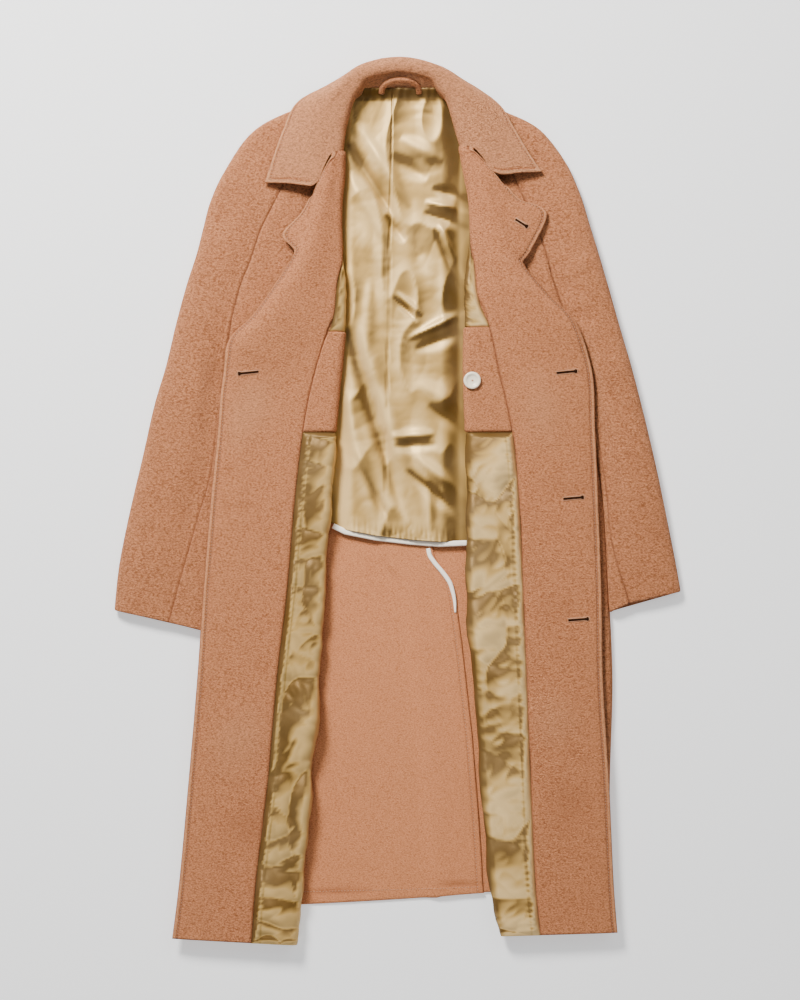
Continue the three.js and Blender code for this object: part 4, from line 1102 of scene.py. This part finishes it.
def build_tape(name, node, centre, width, base):
    """A strip of tape with rounded sides along a line of points, at a height of its own."""
    ahead = np.gradient(centre, axis=0)
    ahead /= np.linalg.norm(ahead, axis=1, keepdims=True)
    across = np.stack([-ahead[:, 1], ahead[:, 0], np.zeros(len(ahead))], axis=1)
    shares = np.linspace(-1, 1, 9)
    grid = centre[:, None] + across[:, None] * (width[:, None] / 2 * shares)[..., None]
    face = grid.copy()
    face[..., 2] = base + 2.2 * np.sqrt(np.maximum(1 - 0.9 * shares**4, 0))[None]
    back = grid.copy()
    back[..., 2] = base
    tape = shell(name, face, back, binding_material)
    put(tape, node)
    return tape


xs = np.linspace(-86, 92, 150)
hem_line = np.stack([xs, [value_at(LINING_HEM, "x", "y", x) - 3.4 for x in xs], 0 * xs], axis=1)
hem_tape = build_tape("lining_hem_tape", "lining_binding", hem_line, np.full(150, 7.4), 2 * (WOOL + GAP) + 3)
vent_points = np.array([(b["x"], b["y"], 0) for b in VENT_BINDING], float)
vent_line = curve_points(vent_points, np.linspace(0, len(vent_points) - 1, 90))
vent_width = np.interp(np.linspace(0, 1, 90), np.linspace(0, 1, len(VENT_BINDING)), [b["width"] for b in VENT_BINDING])
vent_tape = build_tape("vent_tape", "vent_binding", vent_line, vent_width, 2 * (WOOL + GAP))


# The hanger loop: a turned strip of the wool, sewn into the neck seam at both ends, lying up
# against the collar's stand.
LOOP = {"x": 3.5, "width": 8.5, "near": 2.6, "far": 5.6}
STAND = {"y": 540.5, "z": 8.5, "rise": 29, "depth": 25}
LOOP_PATH = table(("along", "up"), [
    (-25, 8.5), (-23.5, 17), (-18, 24.5), (-9, 29.3), (1, 30.5), (11, 29.3), (19.5, 24.5), (24, 17), (25, 8.5),
])


def build_loop():
    slope = math.hypot(STAND["rise"], STAND["depth"])
    path = np.array([(p["along"], p["up"], 0) for p in LOOP_PATH], float)
    line = curve_points(path, np.linspace(0, len(path) - 1, 60))
    ahead = np.gradient(line, axis=0)
    ahead /= np.linalg.norm(ahead, axis=1, keepdims=True)
    side = np.stack([-ahead[:, 1], ahead[:, 0], np.zeros(len(ahead))], axis=1)
    shares = np.linspace(-1, 1, 13)
    flat = line[:, None] + side[:, None] * (shares * LOOP["width"] / 2)[None, :, None]
    grid = np.empty(flat.shape)
    grid[..., 0] = LOOP["x"] + flat[..., 0]
    grid[..., 1] = STAND["y"] + flat[..., 1] * STAND["depth"] / slope
    grid[..., 2] = STAND["z"] + flat[..., 1] * STAND["rise"] / slope
    up = np.array((0, -STAND["rise"], STAND["depth"])) / slope
    crown = LOOP["near"] + (LOOP["far"] - LOOP["near"]) * np.sqrt(np.maximum(1 - shares**4, 0))
    loop = shell("hanger_loop_cloth", grid + up * crown[None, :, None], grid + up * LOOP["near"], outer_wool)
    put(loop, "hanger_loop")


build_loop()


# The inside button: a dished resin button with a rim, sewn to the wool panel to hold the under front.
# Its two holes and the faint rings from turning on its face are not drawn; its thread lies across the dish.
button_material, button_tree, button_shader = new_material("button_resin")
button_shader.inputs["Base Color"].default_value = (0.80, 0.70, 0.55, 1)
button_shader.inputs["Roughness"].default_value = 0.28
BUTTON = {"radius": 11.5, "x": 99, "y": 161.3, "z": 28.2, "lean": -0.06}
BUTTON_SECTION = table(("share", "height"), [
    (0, 1.5), (0.3, 1.5), (0.42, 1.7), (0.6, 2.1), (0.66, 2.9), (0.72, 3.3), (0.82, 3.6), (0.9, 3.45),
    (0.95, 3.1), (1, 2.2), (0.96, 1), (0.8, 0.2), (0.6, 0), (0, 0),
])


def build_button():
    bm = bmesh.new()
    first = [bm.verts.new((b["share"] * BUTTON["radius"] * MM, 0, b["height"] * MM)) for b in BUTTON_SECTION]
    edges = [bm.edges.new(pair) for pair in zip(first, first[1:])]
    bmesh.ops.spin(bm, geom=first + edges, cent=(0, 0, 0), axis=(0, 0, 1), angle=2 * math.pi, steps=48, use_merge=True)
    bmesh.ops.remove_doubles(bm, verts=bm.verts[:], dist=1e-6)
    bmesh.ops.recalc_face_normals(bm, faces=bm.faces[:])
    lean = Matrix.Rotation(BUTTON["lean"], 4, "Y")
    place = Matrix.Translation(Vector((BUTTON["x"], BUTTON["y"], BUTTON["z"])) * MM)
    bmesh.ops.transform(bm, matrix=place @ lean, verts=bm.verts[:])
    mesh = bpy.data.meshes.new("inside_button")
    bm.to_mesh(mesh)
    bm.free()
    mesh.materials.append(button_material)
    mesh.shade_smooth()
    button = link(bpy.data.objects.new("inside_button", mesh))
    put(button, "inner_button")
    middle = np.array((BUTTON["x"], BUTTON["y"], BUTTON["z"] + 1.9))
    thread = [np.array([middle + (-1.5, t, 0), middle + (1.5, t, 0)]) for t in (-0.5, 0.5)]
    stitch_mesh("button_thread", thread, None, {"length": 3.4, "pitch": 3.0, "width": 0.5})


build_button()


# The buttonholes: keyhole buttonholes worked in thread round a slit, with the eyelet at the end
# towards the front edge. The slit is not cut: a near-black strip over the cloth is painted shadow.
BUTTONHOLES = table(("side", "x", "y", "turn", "half"), [
    ("left", 224, 172.3, 0.1, 14), ("left", 233.3, 5.5, 0.09, 14), ("left", 239.9, -155.6, 0.08, 14),
    ("left", 164.1, 369.1, -0.55, 10), ("right", -197.6, 171.3, -0.1, 14),
])
slit_shadow_material, slit_tree, slit_shader = new_material("buttonhole_shadow")
slit_shader.inputs["Base Color"].default_value = (0.02, 0.008, 0.004, 1)
slit_shader.inputs["Roughness"].default_value = 1.0
slit_shader.inputs["Specular IOR Level"].default_value = 0.0


def surface_height(face, x, y):
    """The height of a panel's face at a place, from its nearest points there."""
    flat = face.reshape(-1, 3)
    near = flat[(np.abs(flat[:, 0] - x) < 6) & (np.abs(flat[:, 1] - y) < 6)]
    near = near[near[:, 2] > near[:, 2].max() - 4]
    weight = 1 / (1 + (near[:, 0] - x) ** 2 + (near[:, 1] - y) ** 2)
    return float((near[:, 2] * weight).sum() / weight.sum())


def build_buttonhole(index, hole):
    face = FACES[hole["side"]]
    outward = 1 if hole["side"] == "left" else -1
    half, turn = hole["half"], hole["turn"]

    def place(a, b, lift):
        x = hole["x"] + a * math.cos(turn) * outward - b * math.sin(turn) * outward
        y = hole["y"] + a * math.sin(turn) * outward * outward + b * math.cos(turn)
        return np.array((x, y, surface_height(face, x, y) + lift))

    bars = []
    for s in np.linspace(-half, half - 4, 22):
        for side_sign in (-1, 1):
            bars.append(np.array([place(s, side_sign * 0.7, 0.3), place(s, side_sign * 3.0, 0.25)]))
    for angle in np.radians(np.arange(-125, 126, 25)):
        c, d = math.cos(angle), math.sin(angle)
        bars.append(np.array([place(half - 2 + 1.6 * c, 1.6 * d, 0.3), place(half - 2 + 3.9 * c, 3.9 * d, 0.25)]))
    stitch_mesh(f"buttonhole_thread_{index}", bars, None, {"length": 2.6, "pitch": 3.0, "width": 0.5})
    # The slit: a near-black strip laid just above the cloth, painted shadow in the opening.
    bm = bmesh.new()
    bmesh.ops.create_grid(bm, x_segments=24, y_segments=2, size=1)
    for vert in bm.verts:
        a = vert.co.x * half * 0.98
        wide = 1.45 + 1.3 * math.exp(-(((a - half + 2) / 1.7) ** 2))
        vert.co = place(a, vert.co.y * wide, 0.75 + 0.1 * (1 - vert.co.y**2)) * MM
    mesh = bpy.data.meshes.new(f"buttonhole_shadow_{index}")
    bm.to_mesh(mesh)
    bm.free()
    mesh.materials.append(slit_shadow_material)
    cut = link(bpy.data.objects.new(f"buttonhole_shadow_{index}", mesh))
    put(cut, None)


for index, hole in enumerate(BUTTONHOLES):
    build_buttonhole(index, hole)
